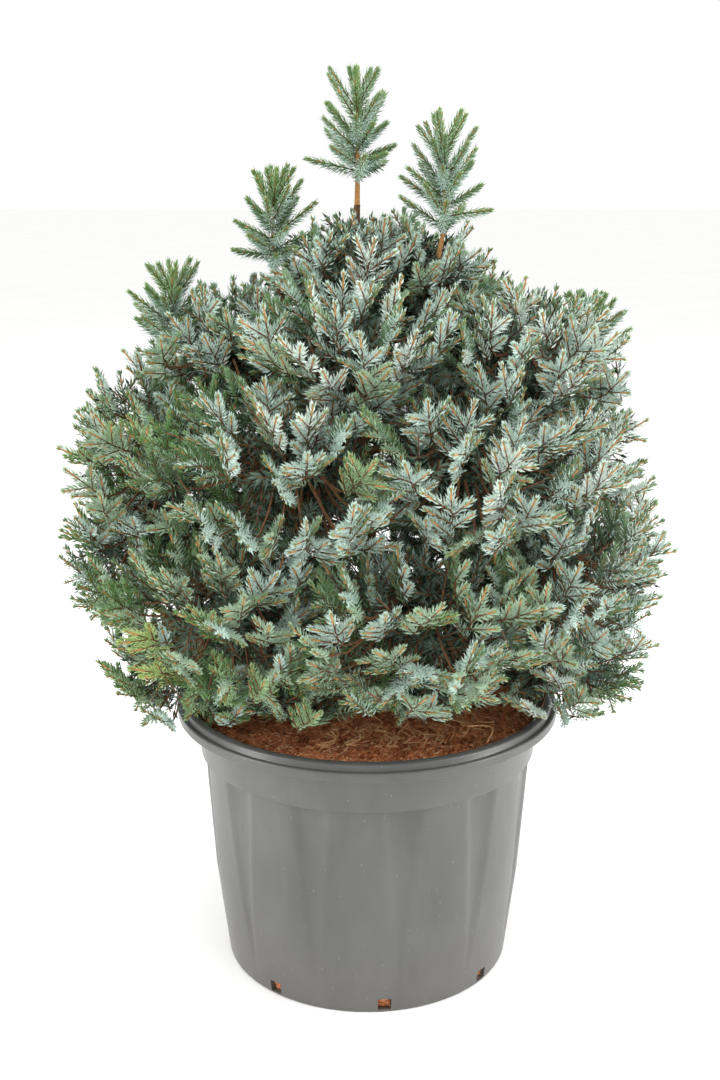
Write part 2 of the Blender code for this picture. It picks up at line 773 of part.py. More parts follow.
def stem_mesh(mass):
    """The stem that carries on from the limb into the mass, tapering."""
    foot, direction = stem_foot(mass)
    end = mass.centre.copy()
    if mass.kind == "leader":
        end[2] += mass.half_sizes[2] * LEADER_STEM_SHARE
    bend = foot + direction * STEM_BEND
    radius = mass.bough_radius
    return limb_mesh("stem", (foot, bend, end), (radius, radius, radius * STEM_TAPER))


def make_mass(mass, masses, limbs, parts, trims, material, rng):
    """One mass: its stem, its core or upright shoots, and its sprays, joined into one solid."""
    if mass.kind == "leader":
        meshes = [stem_mesh(mass), *leader_shoots(mass, masses, limbs, rng)]
    else:
        meshes = [core_mesh(mass, masses, limbs), stem_mesh(mass)]
        meshes += sprays_of(mass, masses, limbs, rng)
    return fuse(f"foliage_{mass.name}", meshes, parts, material, trims)


def main():
    """Builds the pot, the root ball, the limbs and the crown."""
    clear_scene()
    parts = make_collection("potted_spruce")
    pot_cutters = make_collection("pot_cutters")
    ground_cutters = make_collection("ground_cutters")
    limb_cutters = make_collection("limb_cutters")
    plastic = make_material("charcoal polypropylene", (0.075, 0.077, 0.078), 0.42)
    coir = make_material("coir and peat", (0.20, 0.075, 0.030), 0.95)
    bark = make_material("spruce bark", (0.19, 0.11, 0.065), 0.90)
    needles = make_material("spruce needles", (0.13, 0.22, 0.19), 0.70)
    masses = all_masses()
    limbs = limb_lines(masses)
    make_pot(parts, pot_cutters, plastic)
    make_soil(parts, coir)
    make_trunk(parts, ground_cutters, bark)
    trunk_cutter = limb_clearances(limbs, limb_cutters)[0]
    for mass in masses:
        if has_bough(mass):
            make_bough(mass, parts, trunk_cutter, bark)
    for index, mass in enumerate(masses):
        rng = np.random.default_rng(SEED + index)
        make_mass(mass, masses, limbs, parts, limb_cutters, needles, rng)


main()
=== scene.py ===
"""The dressed dwarf Serbian spruce in its nursery pot.

Metres, +Z up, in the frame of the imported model. Every shape is a surface worked out with
numpy: a profile turned round Z, a tube along a path, or a needle with four corners. The
crown grows by the rule of the model's source: each mass has its own space, an ellipsoid
shared out among its neighbours, and carries branchlets, shoots and needles inside it.
"""

import logging
import math
from dataclasses import dataclass, field
from enum import Enum

import bpy
import numpy as np
from bpy.types import Material, Node, NodeSocket, NodeTree
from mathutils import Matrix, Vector
from numpy.random import Generator


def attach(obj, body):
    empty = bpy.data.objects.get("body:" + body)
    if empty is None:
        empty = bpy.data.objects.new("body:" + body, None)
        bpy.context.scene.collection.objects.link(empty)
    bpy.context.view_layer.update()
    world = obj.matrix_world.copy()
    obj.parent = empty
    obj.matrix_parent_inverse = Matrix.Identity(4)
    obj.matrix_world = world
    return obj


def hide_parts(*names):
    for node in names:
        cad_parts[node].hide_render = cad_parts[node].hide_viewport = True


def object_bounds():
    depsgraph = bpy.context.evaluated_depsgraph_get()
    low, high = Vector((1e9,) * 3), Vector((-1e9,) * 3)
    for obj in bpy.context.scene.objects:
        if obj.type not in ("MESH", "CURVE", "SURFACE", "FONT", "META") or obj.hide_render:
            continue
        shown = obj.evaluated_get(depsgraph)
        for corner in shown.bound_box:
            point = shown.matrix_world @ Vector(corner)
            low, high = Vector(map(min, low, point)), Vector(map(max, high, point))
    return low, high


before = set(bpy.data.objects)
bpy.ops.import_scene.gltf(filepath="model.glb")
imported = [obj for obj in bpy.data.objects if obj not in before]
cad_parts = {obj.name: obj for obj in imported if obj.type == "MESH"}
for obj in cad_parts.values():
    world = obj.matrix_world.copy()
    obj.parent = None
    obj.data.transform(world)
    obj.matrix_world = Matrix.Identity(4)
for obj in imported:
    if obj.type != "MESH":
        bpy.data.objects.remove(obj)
CAD_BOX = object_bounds()

LOG = logging.getLogger("spruce")
MM = 0.001
SEED = 41
UP = np.array([0.0, 0.0, 1.0])
# Stands in for a length of nothing, where a length divides.
TINY = 1e-12
# Guides for a tube's rings: one for most ways, one for a tube that stands upright.
NEARLY_UP = np.array([0.03, 0.0, 1.0])
NEARLY_RIGHT = np.array([1.0, 0.03, 0.0])
UPRIGHT_FROM = 0.9
# The golden angle, as a share of a turn between one needle and the next.
GOLDEN_SHARE = 0.381966
# Lengths of the waves in a ripple field, as shares of its middle wavelength.
WAVE_SHARES = (0.6, 1.6)
# The widest place of a needle along its length, and its keel's depth as a share of its width.
WIDEST_SHARE = 0.45
KEEL = 0.35

# Places shared with the model's source.
SOIL_TOP = 0.3640
POT_HEIGHT = 0.3860
MOUTH_RADIUS = 0.2455
LIP_RADIUS = 0.2640
CLEARANCE = 0.0003


# Arrays and meshes


def unit(vectors: np.ndarray) -> np.ndarray:
    """Vectors at length 1, along the last axis."""
    return vectors / np.maximum(np.linalg.norm(vectors, axis=-1, keepdims=True), TINY)


def around(degrees: float) -> tuple[np.ndarray, np.ndarray]:
    """The level directions outwards and sideways at an angle from the front."""
    angle = math.radians(degrees)
    outwards = np.array([math.sin(angle), -math.cos(angle), 0.0])
    return outwards, np.array([math.cos(angle), math.sin(angle), 0.0])


def ripples(places: np.ndarray, wavelength: float, seed: int, waves: int = 14) -> np.ndarray:
    """A soft random field: the mean of sine waves that run in seeded directions.

    Args:
        places: points, with three numbers on the last axis.
        wavelength: the middle wavelength in metres.
        seed: picks the directions, lengths and phases of the waves.
        waves: how many waves are added.

    Returns:
        A value near -1 to 1 for each point.
    """
    rng = np.random.default_rng(seed)
    ways = unit(rng.normal(size=(waves, 3))) * math.tau / wavelength
    ways *= rng.uniform(*WAVE_SHARES, (waves, 1))
    phases = rng.uniform(0, math.tau, waves)
    return np.sin(places @ ways.T + phases).sum(axis=-1) / math.sqrt(waves)


@dataclass
class MeshParts:
    """Points and faces gathered for one piece, with a material slot for each face."""

    points: list[np.ndarray] = field(default_factory=list)
    faces: list[np.ndarray] = field(default_factory=list)
    slots: list[np.ndarray] = field(default_factory=list)
    size: int = 0

    def add(
        self, points: np.ndarray, faces: list[np.ndarray], slots: list[np.ndarray | int]
    ) -> None:
        """Adds a shape whose faces count its own points from 0."""
        for part, slot in zip(faces, slots):
            self.faces.append(part + self.size)
            self.slots.append(np.broadcast_to(slot, len(part)))
        self.points.append(points.reshape(-1, 3))
        self.size += len(self.points[-1])

    def triangles(self) -> int:
        """How many triangles the faces come to."""
        return sum(len(part) * (part.shape[1] - 2) for part in self.faces)


def turned_out(points: np.ndarray, faces: list[np.ndarray]) -> list[np.ndarray]:
    """The faces of a closed shape, turned round if they enclose a negative volume."""
    volume = 0.0
    for part in faces:
        for corner in range(1, part.shape[1] - 1):
            first, second, third = (points[part[:, c]] for c in (0, corner, corner + 1))
            volume += float(np.einsum("ij,ij->", first, np.cross(second, third)))
    return faces if volume > 0 else [part[:, ::-1] for part in faces]


def wrapped_quads(rows: int, columns: int) -> np.ndarray:
    """Quads of a grid whose columns close on themselves, row by row."""
    row = np.arange(rows - 1)[:, None] * columns
    here = np.arange(columns)[None, :]
    after = (here + 1) % columns
    quads = np.stack([row + here, row + after, row + columns + after, row + columns + here], -1)
    return quads.reshape(-1, 4)


def end_caps(rows: int, columns: int) -> np.ndarray:
    """Triangles from a wrapped grid's first and last rows to the two points that follow it."""
    here = np.arange(columns)
    after = (here + 1) % columns
    poles = np.full((2, columns), rows * columns) + [[0], [1]]
    last = (rows - 1) * columns
    return np.concatenate([np.stack([poles[0], after, here], -1),
                           np.stack([poles[1], last + here, last + after], -1)])


def turned_grid(radii: np.ndarray, heights: np.ndarray, angles: np.ndarray) -> np.ndarray:
    """Rings of points round Z, from radii and heights by row, and angles by column."""
    x = radii * np.sin(angles)
    return np.stack([x, -radii * np.cos(angles), np.broadcast_to(heights, x.shape)], -1)


def closed_grid(grid: np.ndarray, poles: np.ndarray) -> tuple[np.ndarray, list[np.ndarray]]:
    """A closed shape from rings of points, and the two points that close its ends."""
    points = np.concatenate([grid.reshape(-1, 3), poles])
    rows, columns = grid.shape[:2]
    return points, turned_out(points, [wrapped_quads(rows, columns), end_caps(rows, columns)])


def tubes(paths: np.ndarray, radii: np.ndarray, sides: int) -> tuple[np.ndarray, list[np.ndarray]]:
    """Closed round tubes: a ring of points square to each path at each of its stations.

    Args:
        paths: (tubes, stations, 3) middle lines.
        radii: (tubes, stations) radii, or (tubes, stations, sides) for a relief.
        sides: points in each ring.

    Returns:
        The points, and the faces as quads along the tubes and triangles at their ends.
    """
    count, stations = paths.shape[:2]
    along = unit(np.gradient(paths, axis=1))
    upright = np.abs(along[:, :1] @ UP)[..., None] > UPRIGHT_FROM
    guide = np.where(upright, NEARLY_RIGHT, NEARLY_UP)
    side = unit(np.cross(along, guide))
    over = np.cross(side, along)
    angle = np.arange(sides) * math.tau / sides
    ring = np.cos(angle)[:, None] * side[:, :, None] + np.sin(angle)[:, None] * over[:, :, None]
    reach = radii[..., None] if radii.ndim == 2 else radii
    walls = paths[:, :, None] + ring * reach[..., None]
    per_tube = stations * sides + 2
    ends = paths[:, [0, -1]]
    points = np.concatenate([walls.reshape(count, -1, 3), ends], axis=1)
    base = np.arange(count)[:, None, None] * per_tube
    quads = wrapped_quads(stations, sides)[None] + base
    caps = end_caps(stations, sides)[None] + base
    flat = points.reshape(-1, 3)
    faces = [quads.reshape(-1, 4), caps.reshape(-1, 3)]
    return flat, turned_out(flat, faces)


def blades(
    roots: np.ndarray, ways: np.ndarray, faces_to: np.ndarray, lengths: np.ndarray,
    widths: np.ndarray,
) -> tuple[np.ndarray, np.ndarray, np.ndarray]:
    """Needles with four corners: a ridge from root to tip, and two wide corners behind it.

    Args:
        roots: (n, 3) where each needle starts.
        ways: (n, 3) unit directions of the needles.
        faces_to: (n, 3) the side that the ridge and the bloom faces look to.
        lengths: (n,) lengths.
        widths: (n,) widths at the widest place.

    Returns:
        The points, and the two bloom faces and two back faces of every needle.
    """
    side = unit(np.cross(ways, faces_to))
    over = np.cross(side, ways)
    middle = roots + ways * (lengths * WIDEST_SHARE)[:, None] - over * (widths * KEEL)[:, None]
    half = side * (widths / 2)[:, None]
    points = np.stack([roots, roots + ways * lengths[:, None], middle + half, middle - half], 1)
    base = (np.arange(len(roots)) * 4)[:, None, None]
    bloom = np.array([[0, 1, 3], [1, 0, 2]])[None] + base
    back = np.array([[0, 3, 2], [1, 2, 3]])[None] + base
    return points.reshape(-1, 3), bloom.reshape(-1, 3), back.reshape(-1, 3)


def make_piece(
    name: str, parts: MeshParts, finishes: list[Material],
    replaced: list[str], crease: float | None = None,
) -> None:
    """Makes one finished object at the origin, riding on the only body.

    Args:
        name: the piece's name.
        parts: its points and faces.
        finishes: its materials, in slot order.
        replaced: the CAD nodes that it stands for.
        crease: the angle in degrees past which a smooth edge is sharp; None shades flat.
    """
    mesh = bpy.data.meshes.new(name)
    points = np.concatenate(parts.points).astype(np.float32)
    corners = np.concatenate([part.ravel() for part in parts.faces]).astype(np.int32)
    widths = np.concatenate([np.full(len(part), part.shape[1]) for part in parts.faces])
    slots = np.concatenate(parts.slots).astype(np.int32)
    mesh.vertices.add(len(points))
    mesh.vertices.foreach_set("co", points.ravel())
    mesh.loops.add(len(corners))
    mesh.loops.foreach_set("vertex_index", corners)
    mesh.polygons.add(len(widths))
    mesh.polygons.foreach_set("loop_start", (np.cumsum(widths) - widths).astype(np.int32))
    for finish in finishes:
        mesh.materials.append(finish)
    mesh.polygons.foreach_set("material_index", slots)
    mesh.polygons.foreach_set("use_smooth", np.full(len(widths), crease is not None))
    mesh.update(calc_edges=True)
    if crease is not None:
        mesh.set_sharp_from_angle(angle=math.radians(crease))
    piece = bpy.data.objects.new(name, mesh)
    bpy.context.scene.collection.objects.link(piece)
    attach(piece, "root")
    if replaced:
        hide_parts(*replaced)
    LOG.info("%s: %d triangles", name, parts.triangles())


def make_plain_piece(
    name: str, shape: tuple[np.ndarray, list[np.ndarray]], finish: Material,
    replaced: list[str], crease: float | None = None,
) -> None:
    """Makes one finished object from a single shape in a single material.

    Args:
        name: the piece's name.
        shape: its points and faces.
        finish: its material.
        replaced: the CAD nodes that it stands for.
        crease: the angle in degrees past which a smooth edge is sharp; None shades flat.
    """
    points, faces = shape
    parts = MeshParts()
    parts.add(points, faces, [0] * len(faces))
    make_piece(name, parts, [finish], replaced, crease)


# Finishes


def linear(code: str) -> tuple[float, float, float, float]:
    """An sRGB hex colour such as #3a4042 as linear red, green, blue and alpha, by its curve."""
    values = np.array([int(code[place:place + 2], 16) for place in (1, 3, 5)]) / 255
    curved = ((values + 0.055) / 1.055) ** 2.4
    return (*np.where(values <= 0.04045, values / 12.92, curved).tolist(), 1.0)


def add_node(
    tree: NodeTree, kind: str, settings: dict | None = None, links: dict | None = None
) -> Node:
    """Adds a node to a material.

    Args:
        tree: the material's node tree.
        kind: the node's type.
        settings: values by the name or number of a socket, or by the name of a property.
        links: output sockets by the name or number of the input that they feed.

    Returns:
        The node.
    """
    node = tree.nodes.new(kind)
    for name, value in (settings or {}).items():
        if isinstance(name, str) and name not in node.inputs:
            setattr(node, name, value)
        else:
            node.inputs[name].default_value = value
    for name, source in (links or {}).items():
        tree.links.new(source, node.inputs[name])
    return node


# Numbers of the colour sockets of a Mix node.
MIX_FACTOR, MIX_FIRST, MIX_SECOND, MIX_COLOR = 0, 6, 7, 2


def noise(
    tree: NodeTree, place: NodeSocket, size_mm: float, detail: float = 2.0,
    roughness: float = 0.5,
) -> NodeSocket:
    """A soft noise whose patches have a real size."""
    made = add_node(tree, "ShaderNodeTexNoise",
                    {"Scale": 1 / (size_mm * MM), "Detail": detail, "Roughness": roughness},
                    {"Vector": place})
    return made.outputs["Fac"]


def ranged(
    tree: NodeTree, value: NodeSocket, low: float, high: float,
    results: tuple[float, float],
) -> NodeSocket:
    """A value that runs between two results while the given one runs from low to high."""
    made = add_node(tree, "ShaderNodeMapRange",
                    {"From Min": low, "From Max": high, "To Min": results[0],
                     "To Max": results[1]}, {"Value": value})
    return made.outputs["Result"]


def blended(
    tree: NodeTree, factor: NodeSocket, first: NodeSocket | str,
    second: str,
) -> NodeSocket:
    """A colour between the first, a socket or a hex code, and the second, a hex code."""
    made = add_node(tree, "ShaderNodeMix", {"data_type": "RGBA", MIX_SECOND: linear(second)},
                    {MIX_FACTOR: factor})
    if isinstance(first, str):
        made.inputs[MIX_FIRST].default_value = linear(first)
    else:
        tree.links.new(first, made.inputs[MIX_FIRST])
    return made.outputs[MIX_COLOR]


def new_material(name: str, specular: float) -> tuple[Material, Node]:
    """An opaque material and its shader node."""
    made = bpy.data.materials.new(name)
    made.use_nodes = True
    shader = made.node_tree.nodes["Principled BSDF"]
    shader.inputs["Specular IOR Level"].default_value = specular
    return made, shader


@dataclass(frozen=True)
class Finish:
    """A mottled surface: two colours in soft patches, an uneven gloss and a fine grain."""

    name: str
    dark: str
    light: str
    patch_mm: float
    roughness: tuple[float, float]
    grain_mm: float
    grain_depth_mm: float
    specular: float = 0.5
    stretch: tuple[float, float, float] = (1.0, 1.0, 1.0)
    patch_detail: float = 4.0
    patch_roughness: float = 0.6
    patch_range: tuple[float, float] = (0.32, 0.68)
    grain_detail: float = 3.0
    gloss_range: tuple[float, float] = (0.3, 0.7)

    def color_from(
        self, tree: NodeTree, place: NodeSocket
    ) -> NodeSocket:
        """The base colour: dark and light in patches of a real size."""
        patches = noise(tree, place, self.patch_mm, self.patch_detail, self.patch_roughness)
        spread = ranged(tree, patches, *self.patch_range, (0.0, 1.0))
        return blended(tree, spread, self.dark, self.light)

    def paint(self) -> Material:
        """The material, read from Object coordinates."""
        made, shader = new_material(self.name, self.specular)
        tree = made.node_tree
        whole = add_node(tree, "ShaderNodeTexCoord").outputs["Object"]
        mapping = add_node(tree, "ShaderNodeMapping", {"Scale": self.stretch}, {"Vector": whole})
        place = mapping.outputs["Vector"]
        tree.links.new(self.color_from(tree, place), shader.inputs["Base Color"])
        grain = noise(tree, place, self.grain_mm, self.grain_detail)
        gloss = ranged(tree, grain, *self.gloss_range, self.roughness)
        tree.links.new(gloss, shader.inputs["Roughness"])
        bump = add_node(tree, "ShaderNodeBump", {"Distance": self.grain_depth_mm * MM},
                        {"Height": grain})
        tree.links.new(bump.outputs["Normal"], shader.inputs["Normal"])
        return made


@dataclass(frozen=True)
class NurseryPlastic(Finish):
    """Blow-moulded charcoal polypropylene, with dust at its foot and pale specks.

    The dust's height is told in the pattern's space, which the stretch squeezes upright.
    """

    dust: str = "#6a655c"
    dust_height: float = 0.060
    dust_shares: tuple[float, float] = (0.22, 0.01)
    speck: str = "#8a8a84"
    speck_mm: float = 9.0
    speck_edge: tuple[float, float] = (0.05, 0.09)
    speck_share: float = 0.55

    def color_from(
        self, tree: NodeTree, place: NodeSocket
    ) -> NodeSocket:
        """The plastic's colour, with dust that thins out upwards and scattered specks."""
        plain = super().color_from(tree, place)
        height = add_node(tree, "ShaderNodeSeparateXYZ", links={"Vector": place}).outputs["Z"]
        fade = ranged(tree, height, 0.0, self.dust_height, self.dust_shares)
        dusty = blended(tree, fade, plain, self.dust)
        cells = add_node(tree, "ShaderNodeTexVoronoi", {"Scale": 1 / (self.speck_mm * MM)},
                         {"Vector": place})
        dots = ranged(tree, cells.outputs["Distance"], *self.speck_edge, (self.speck_share, 0.0))
        return blended(tree, dots, dusty, self.speck)


@dataclass(frozen=True)
class NeedleWax:
    """One face of a living needle: one plain colour, with a waxy gloss that varies a little."""

    name: str
    color: str
    roughness: tuple[float, float] = (0.48, 0.68)
    specular: float = 0.30
    patch_mm: float = 14.0

    def paint(self) -> Material:
        """The material: the colour is a constant, and only the gloss follows a pattern."""
        made, shader = new_material(self.name, self.specular)
        tree = made.node_tree
        shader.inputs["Base Color"].default_value = linear(self.color)
        place = add_node(tree, "ShaderNodeTexCoord").outputs["Object"]
        gloss = ranged(tree, noise(tree, place, self.patch_mm), 0.0, 1.0, self.roughness)
        tree.links.new(gloss, shader.inputs["Roughness"])
        return made


class Tone(Enum):
    """The colours of a shoot's needles: the waxy face towards its tip, and the green back."""

    GLAUCOUS = ("#b2c8bd", "#607c56")
    SILVER = ("#cbdad0", "#6c8765")
    SAGE = ("#9fb79c", "#5b794d")
    GREEN = ("#92ae80", "#597c47")
    # Painted shade: the inner shoots' old needles, their deeper green darkened further to the
    # shade inside the crown.
    DARK = ("#46594a", "#293c26")
    YOUNG = ("#a4b876", "#86a254")
    FRESH = ("#96aa72", "#76924e")

    def number(self) -> int:
        """The tone's place in the list; its waxy face has twice that slot, its back the next."""
        return list(Tone).index(self)


# Blow-moulded polypropylene: a satin dark grey that shows soft upright reflections.
POT_PLASTIC = NurseryPlastic("charcoal polypropylene", "#4b4b4a", "#575756", 60.0, (0.30, 0.40),
                             0.9, 0.05, 0.5, (1.0, 1.0, 0.35))
# Coir and peat: matt, crumbly and red-brown, with lumps of a few millimetres.
COIR_BED = Finish("coir and peat mulch", "#a85c38", "#f0a474", 6.0, (0.9, 1.0), 1.6, 1.6, 0.15)
# Coconut fibres: dry, matt strands in three browns.
COIR_DARK = Finish("dark coir fibre", "#8e5232", "#a0623e", 5.0, (0.85, 0.95), 0.8, 0.1, 0.2)
COIR_RED = Finish("red coir fibre", "#cf8253", "#da9564", 5.0, (0.8, 0.95), 0.8, 0.1, 0.2)
COIR_PALE = Finish("pale coir fibre", "#ddab7c", "#ecc59c", 5.0, (0.8, 0.95), 0.8, 0.1, 0.2)
# Old spruce bark: grey-brown scales, matt, with darker cracks.
OLD_BARK = Finish("scaly spruce bark", "#46301f", "#7d5f45", 5.0, (0.82, 0.96), 1.2, 0.6, 0.2,
                  (1.0, 1.0, 0.5))
# One-year shoots: smooth orange-brown bark, with a faint satin gloss.
SHOOT_BARK = Finish("young spruce bark", "#96683c", "#c09058", 3.0, (0.55, 0.7), 0.8, 0.1, 0.3)
# Older twigs inside the crown: dull dark brown.
TWIG_BARK = Finish("twig bark", "#4c3220", "#7a563a", 4.0, (0.75, 0.9), 0.8, 0.2, 0.2)
# Dead bare twigs: dry, pale tan and matt.
DRY_TWIG = Finish("dry bare twig bark", "#8a6442", "#b98f66", 6.0, (0.8, 0.95), 0.8, 0.2, 0.2)
# Resinous bud scales: orange-brown with a little gloss.
BUD_SCALES = Finish("resinous bud scales", "#93552a", "#c4824a", 2.0, (0.4, 0.55), 0.6, 0.1, 0.4)
# Matt white studio paper: an even pale ground with a trace of tooth.
PAPER = Finish("white studio paper", "#fafaf9", "#fdfdfc", 300.0, (0.85, 0.95), 3.0, 0.02, 0.1)


# The spaces of the crown, by the rule of the model's source


@dataclass(frozen=True)
class Tier:
    """A ring of masses at about one height, with their half sizes outwards, sideways and up."""

    name: str
    half_sizes: tuple[float, float, float]
    bough_rise: float
    bough_radius: float
    members: tuple[tuple[float, float, float, float], ...]


# Each member: degrees from the front towards +X, reach from the pot's axis, height, scale.
TIERS = (
    Tier("skirt", (0.135, 0.180, 0.088), 0.030, 0.0040, (
        (-80, 0.376, 0.450, 1.00), (-32, 0.290, 0.476, 0.76), (26, 0.275, 0.476, 0.76),
        (80, 0.402, 0.466, 1.00), (140, 0.372, 0.458, 1.00), (205, 0.372, 0.458, 1.00))),
    Tier("low", (0.165, 0.205, 0.128), 0.110, 0.0046, (
        (-93, 0.452, 0.608, 1.00), (-40, 0.424, 0.582, 1.00), (14, 0.416, 0.587, 1.00),
        (56, 0.434, 0.606, 1.00), (98, 0.432, 0.604, 1.00), (148, 0.428, 0.592, 1.00),
        (207, 0.430, 0.600, 1.00))),
    Tier("middle", (0.170, 0.235, 0.134), 0.120, 0.0042, (
        (-84, 0.420, 0.740, 1.00), (-25, 0.390, 0.747, 1.00), (32, 0.390, 0.757, 1.00),
        (86, 0.392, 0.738, 1.00), (146, 0.390, 0.742, 1.00), (208, 0.390, 0.742, 1.00))),
    Tier("upper", (0.150, 0.180, 0.114), 0.150, 0.0038, (
        (-82, 0.326, 0.862, 1.00), (-12, 0.304, 0.878, 1.00), (66, 0.362, 0.862, 1.00),
        (132, 0.325, 0.866, 1.00), (200, 0.315, 0.867, 1.00))),
    Tier("shoulder", (0.115, 0.140, 0.096), 0.030, 0.0034, (
        (-24, 0.166, 0.962, 1.00), (88, 0.186, 0.962, 1.00), (205, 0.170, 0.957, 1.00))),
)
# Tiers whose masses grow straight from the trunk, without a bough of their own.
TRUNK_BORNE = ("skirt", "shoulder")


@dataclass(frozen=True)
class Leader:
    """An upright leading shoot: middle and half sizes of its space, and where its bough starts."""

    name: str
    centre: tuple[float, float, float]
    half_sizes: tuple[float, float, float]
    bough_start: float
    bough_radius: float


LEADERS = (
    Leader("top_leader", (-0.014, 0.004, 1.130), (0.078, 0.078, 0.098), 0.0, 0.0042),
    Leader("right_leader", (0.090, -0.020, 1.070), (0.076, 0.076, 0.106), 0.800, 0.0036),
    Leader("left_leader", (-0.117, 0.000, 1.018), (0.060, 0.060, 0.086), 0.760, 0.0034),
    Leader("far_left_leader", (-0.248, -0.010, 0.905), (0.078, 0.070, 0.080), 0.640, 0.0034),
    Leader("far_right_leader", (0.285, 0.020, 0.874), (0.070, 0.066, 0.066), 0.660, 0.0034),
)


@dataclass(frozen=True)
class Mass:
    """One mass of foliage in its own space."""

    name: str
    kind: str
    centre: np.ndarray
    axes: np.ndarray
    half_sizes: np.ndarray
    start: np.ndarray
    bough_radius: float

    def has_bough(self) -> bool:
        """True if a bough of its own carries the mass, and not the trunk."""
        return self.kind not in TRUNK_BORNE and self.name != "top_leader"

    def nearness(self, points: np.ndarray) -> np.ndarray:
        """How far out in the mass the points lie: 0 at its middle, 1 on its ellipsoid."""
        return np.linalg.norm(((points - self.centre) @ self.axes.T) / self.half_sizes, axis=-1)


@dataclass
class Trunk:
    """The trunk: it leans a little and sways once, thins upwards and spreads at its foot."""

    top: float = 1.0500
    lean: tuple[float, float] = (-0.0140, 0.0040)
    sway: float = 0.0060
    foot_radius: float = 0.0190
    tip_radius: float = 0.0042
    thinning: float = 0.85
    buttresses: int = 5
    first_buttress: float = 20.0
    buttress_reach: float = 0.034
    buttress_rise: float = 0.050
    buttress_end_radius: float = 0.0065
    line_points: int = 12
    rings: int = 190
    sides: int = 72
    flare_between: float = 0.12
    plate_height: float = 0.016
    plate_depth: float = 0.0011
    plate_stretch: float = 0.45
    crack_length: float = 0.6
    crack_sharpness: float = 0.5
    crumb_length: float = 0.2
    crumb_share: float = 0.25
    flare_relief: float = 0.7
    crease: float = 60.0

    def axis(self, height: np.ndarray | float) -> np.ndarray:
        """The trunk's middle at a height: a lean from the foot with one slow sine sway."""
        height = np.asarray(height, float)
        share = (height - SOIL_TOP) / (self.top - SOIL_TOP)
        sway = self.sway * np.sin(math.tau * share)
        return np.stack([self.lean[0] * share + sway, self.lean[1] * share - sway / 2, height], -1)

    def radius(self, height: np.ndarray) -> np.ndarray:
        """The trunk's radius at a height, thinning as a power of the share of its height."""
        share = np.clip((height - SOIL_TOP) / (self.top - SOIL_TOP), 0, 1)
        return self.foot_radius + (self.tip_radius - self.foot_radius) * share**self.thinning

    def flare(self, heights: np.ndarray, angles: np.ndarray) -> np.ndarray:
        """How far the buttresses stand out: lobes round the trunk that die away upwards."""
        start = math.radians(self.first_buttress - 90)
        lobes = np.clip(np.cos(self.buttresses * (angles - start)), 0, 1) ** 2
        fall = np.clip(1 - (heights - SOIL_TOP) / self.buttress_rise, 0, 1) ** 2
        room = self.buttress_reach + self.buttress_end_radius - self.foot_radius
        lobes = self.flare_between + (1 - self.flare_between) * lobes[None, :]
        return fall[:, None] * lobes * room

    def build(self, finish: Material) -> None:
        """A tube whose radius carries the flare and upright scales of bark."""
        heights = np.linspace(SOIL_TOP + CLEARANCE, self.top, self.rings)
        angles = np.arange(self.sides) * math.tau / self.sides
        middle = self.axis(heights)
        plain = self.radius(heights)[:, None] + self.flare(heights, angles)
        ring = np.stack([np.cos(angles), np.sin(angles), np.zeros(self.sides)], -1)
        places = middle[:, None] + ring[None] * plain[..., None]
        stretched = places * (1.0, 1.0, self.plate_stretch)
        cracks = ripples(stretched, self.plate_height * self.crack_length, SEED)
        crumbs = ripples(stretched, self.plate_height * self.crumb_length, SEED + 1)
        scales = np.abs(cracks) ** self.crack_sharpness
        relief = self.plate_depth * (scales - 1.0 + self.crumb_share * crumbs)
        relief *= (plain / self.foot_radius) ** self.flare_relief
        walls = middle[:, None] + ring[None] * (plain + relief)[..., None]
        shape = closed_grid(walls, middle[[0, -1]])
        make_plain_piece("trunk_bark", shape, finish, ["trunk"], self.crease)


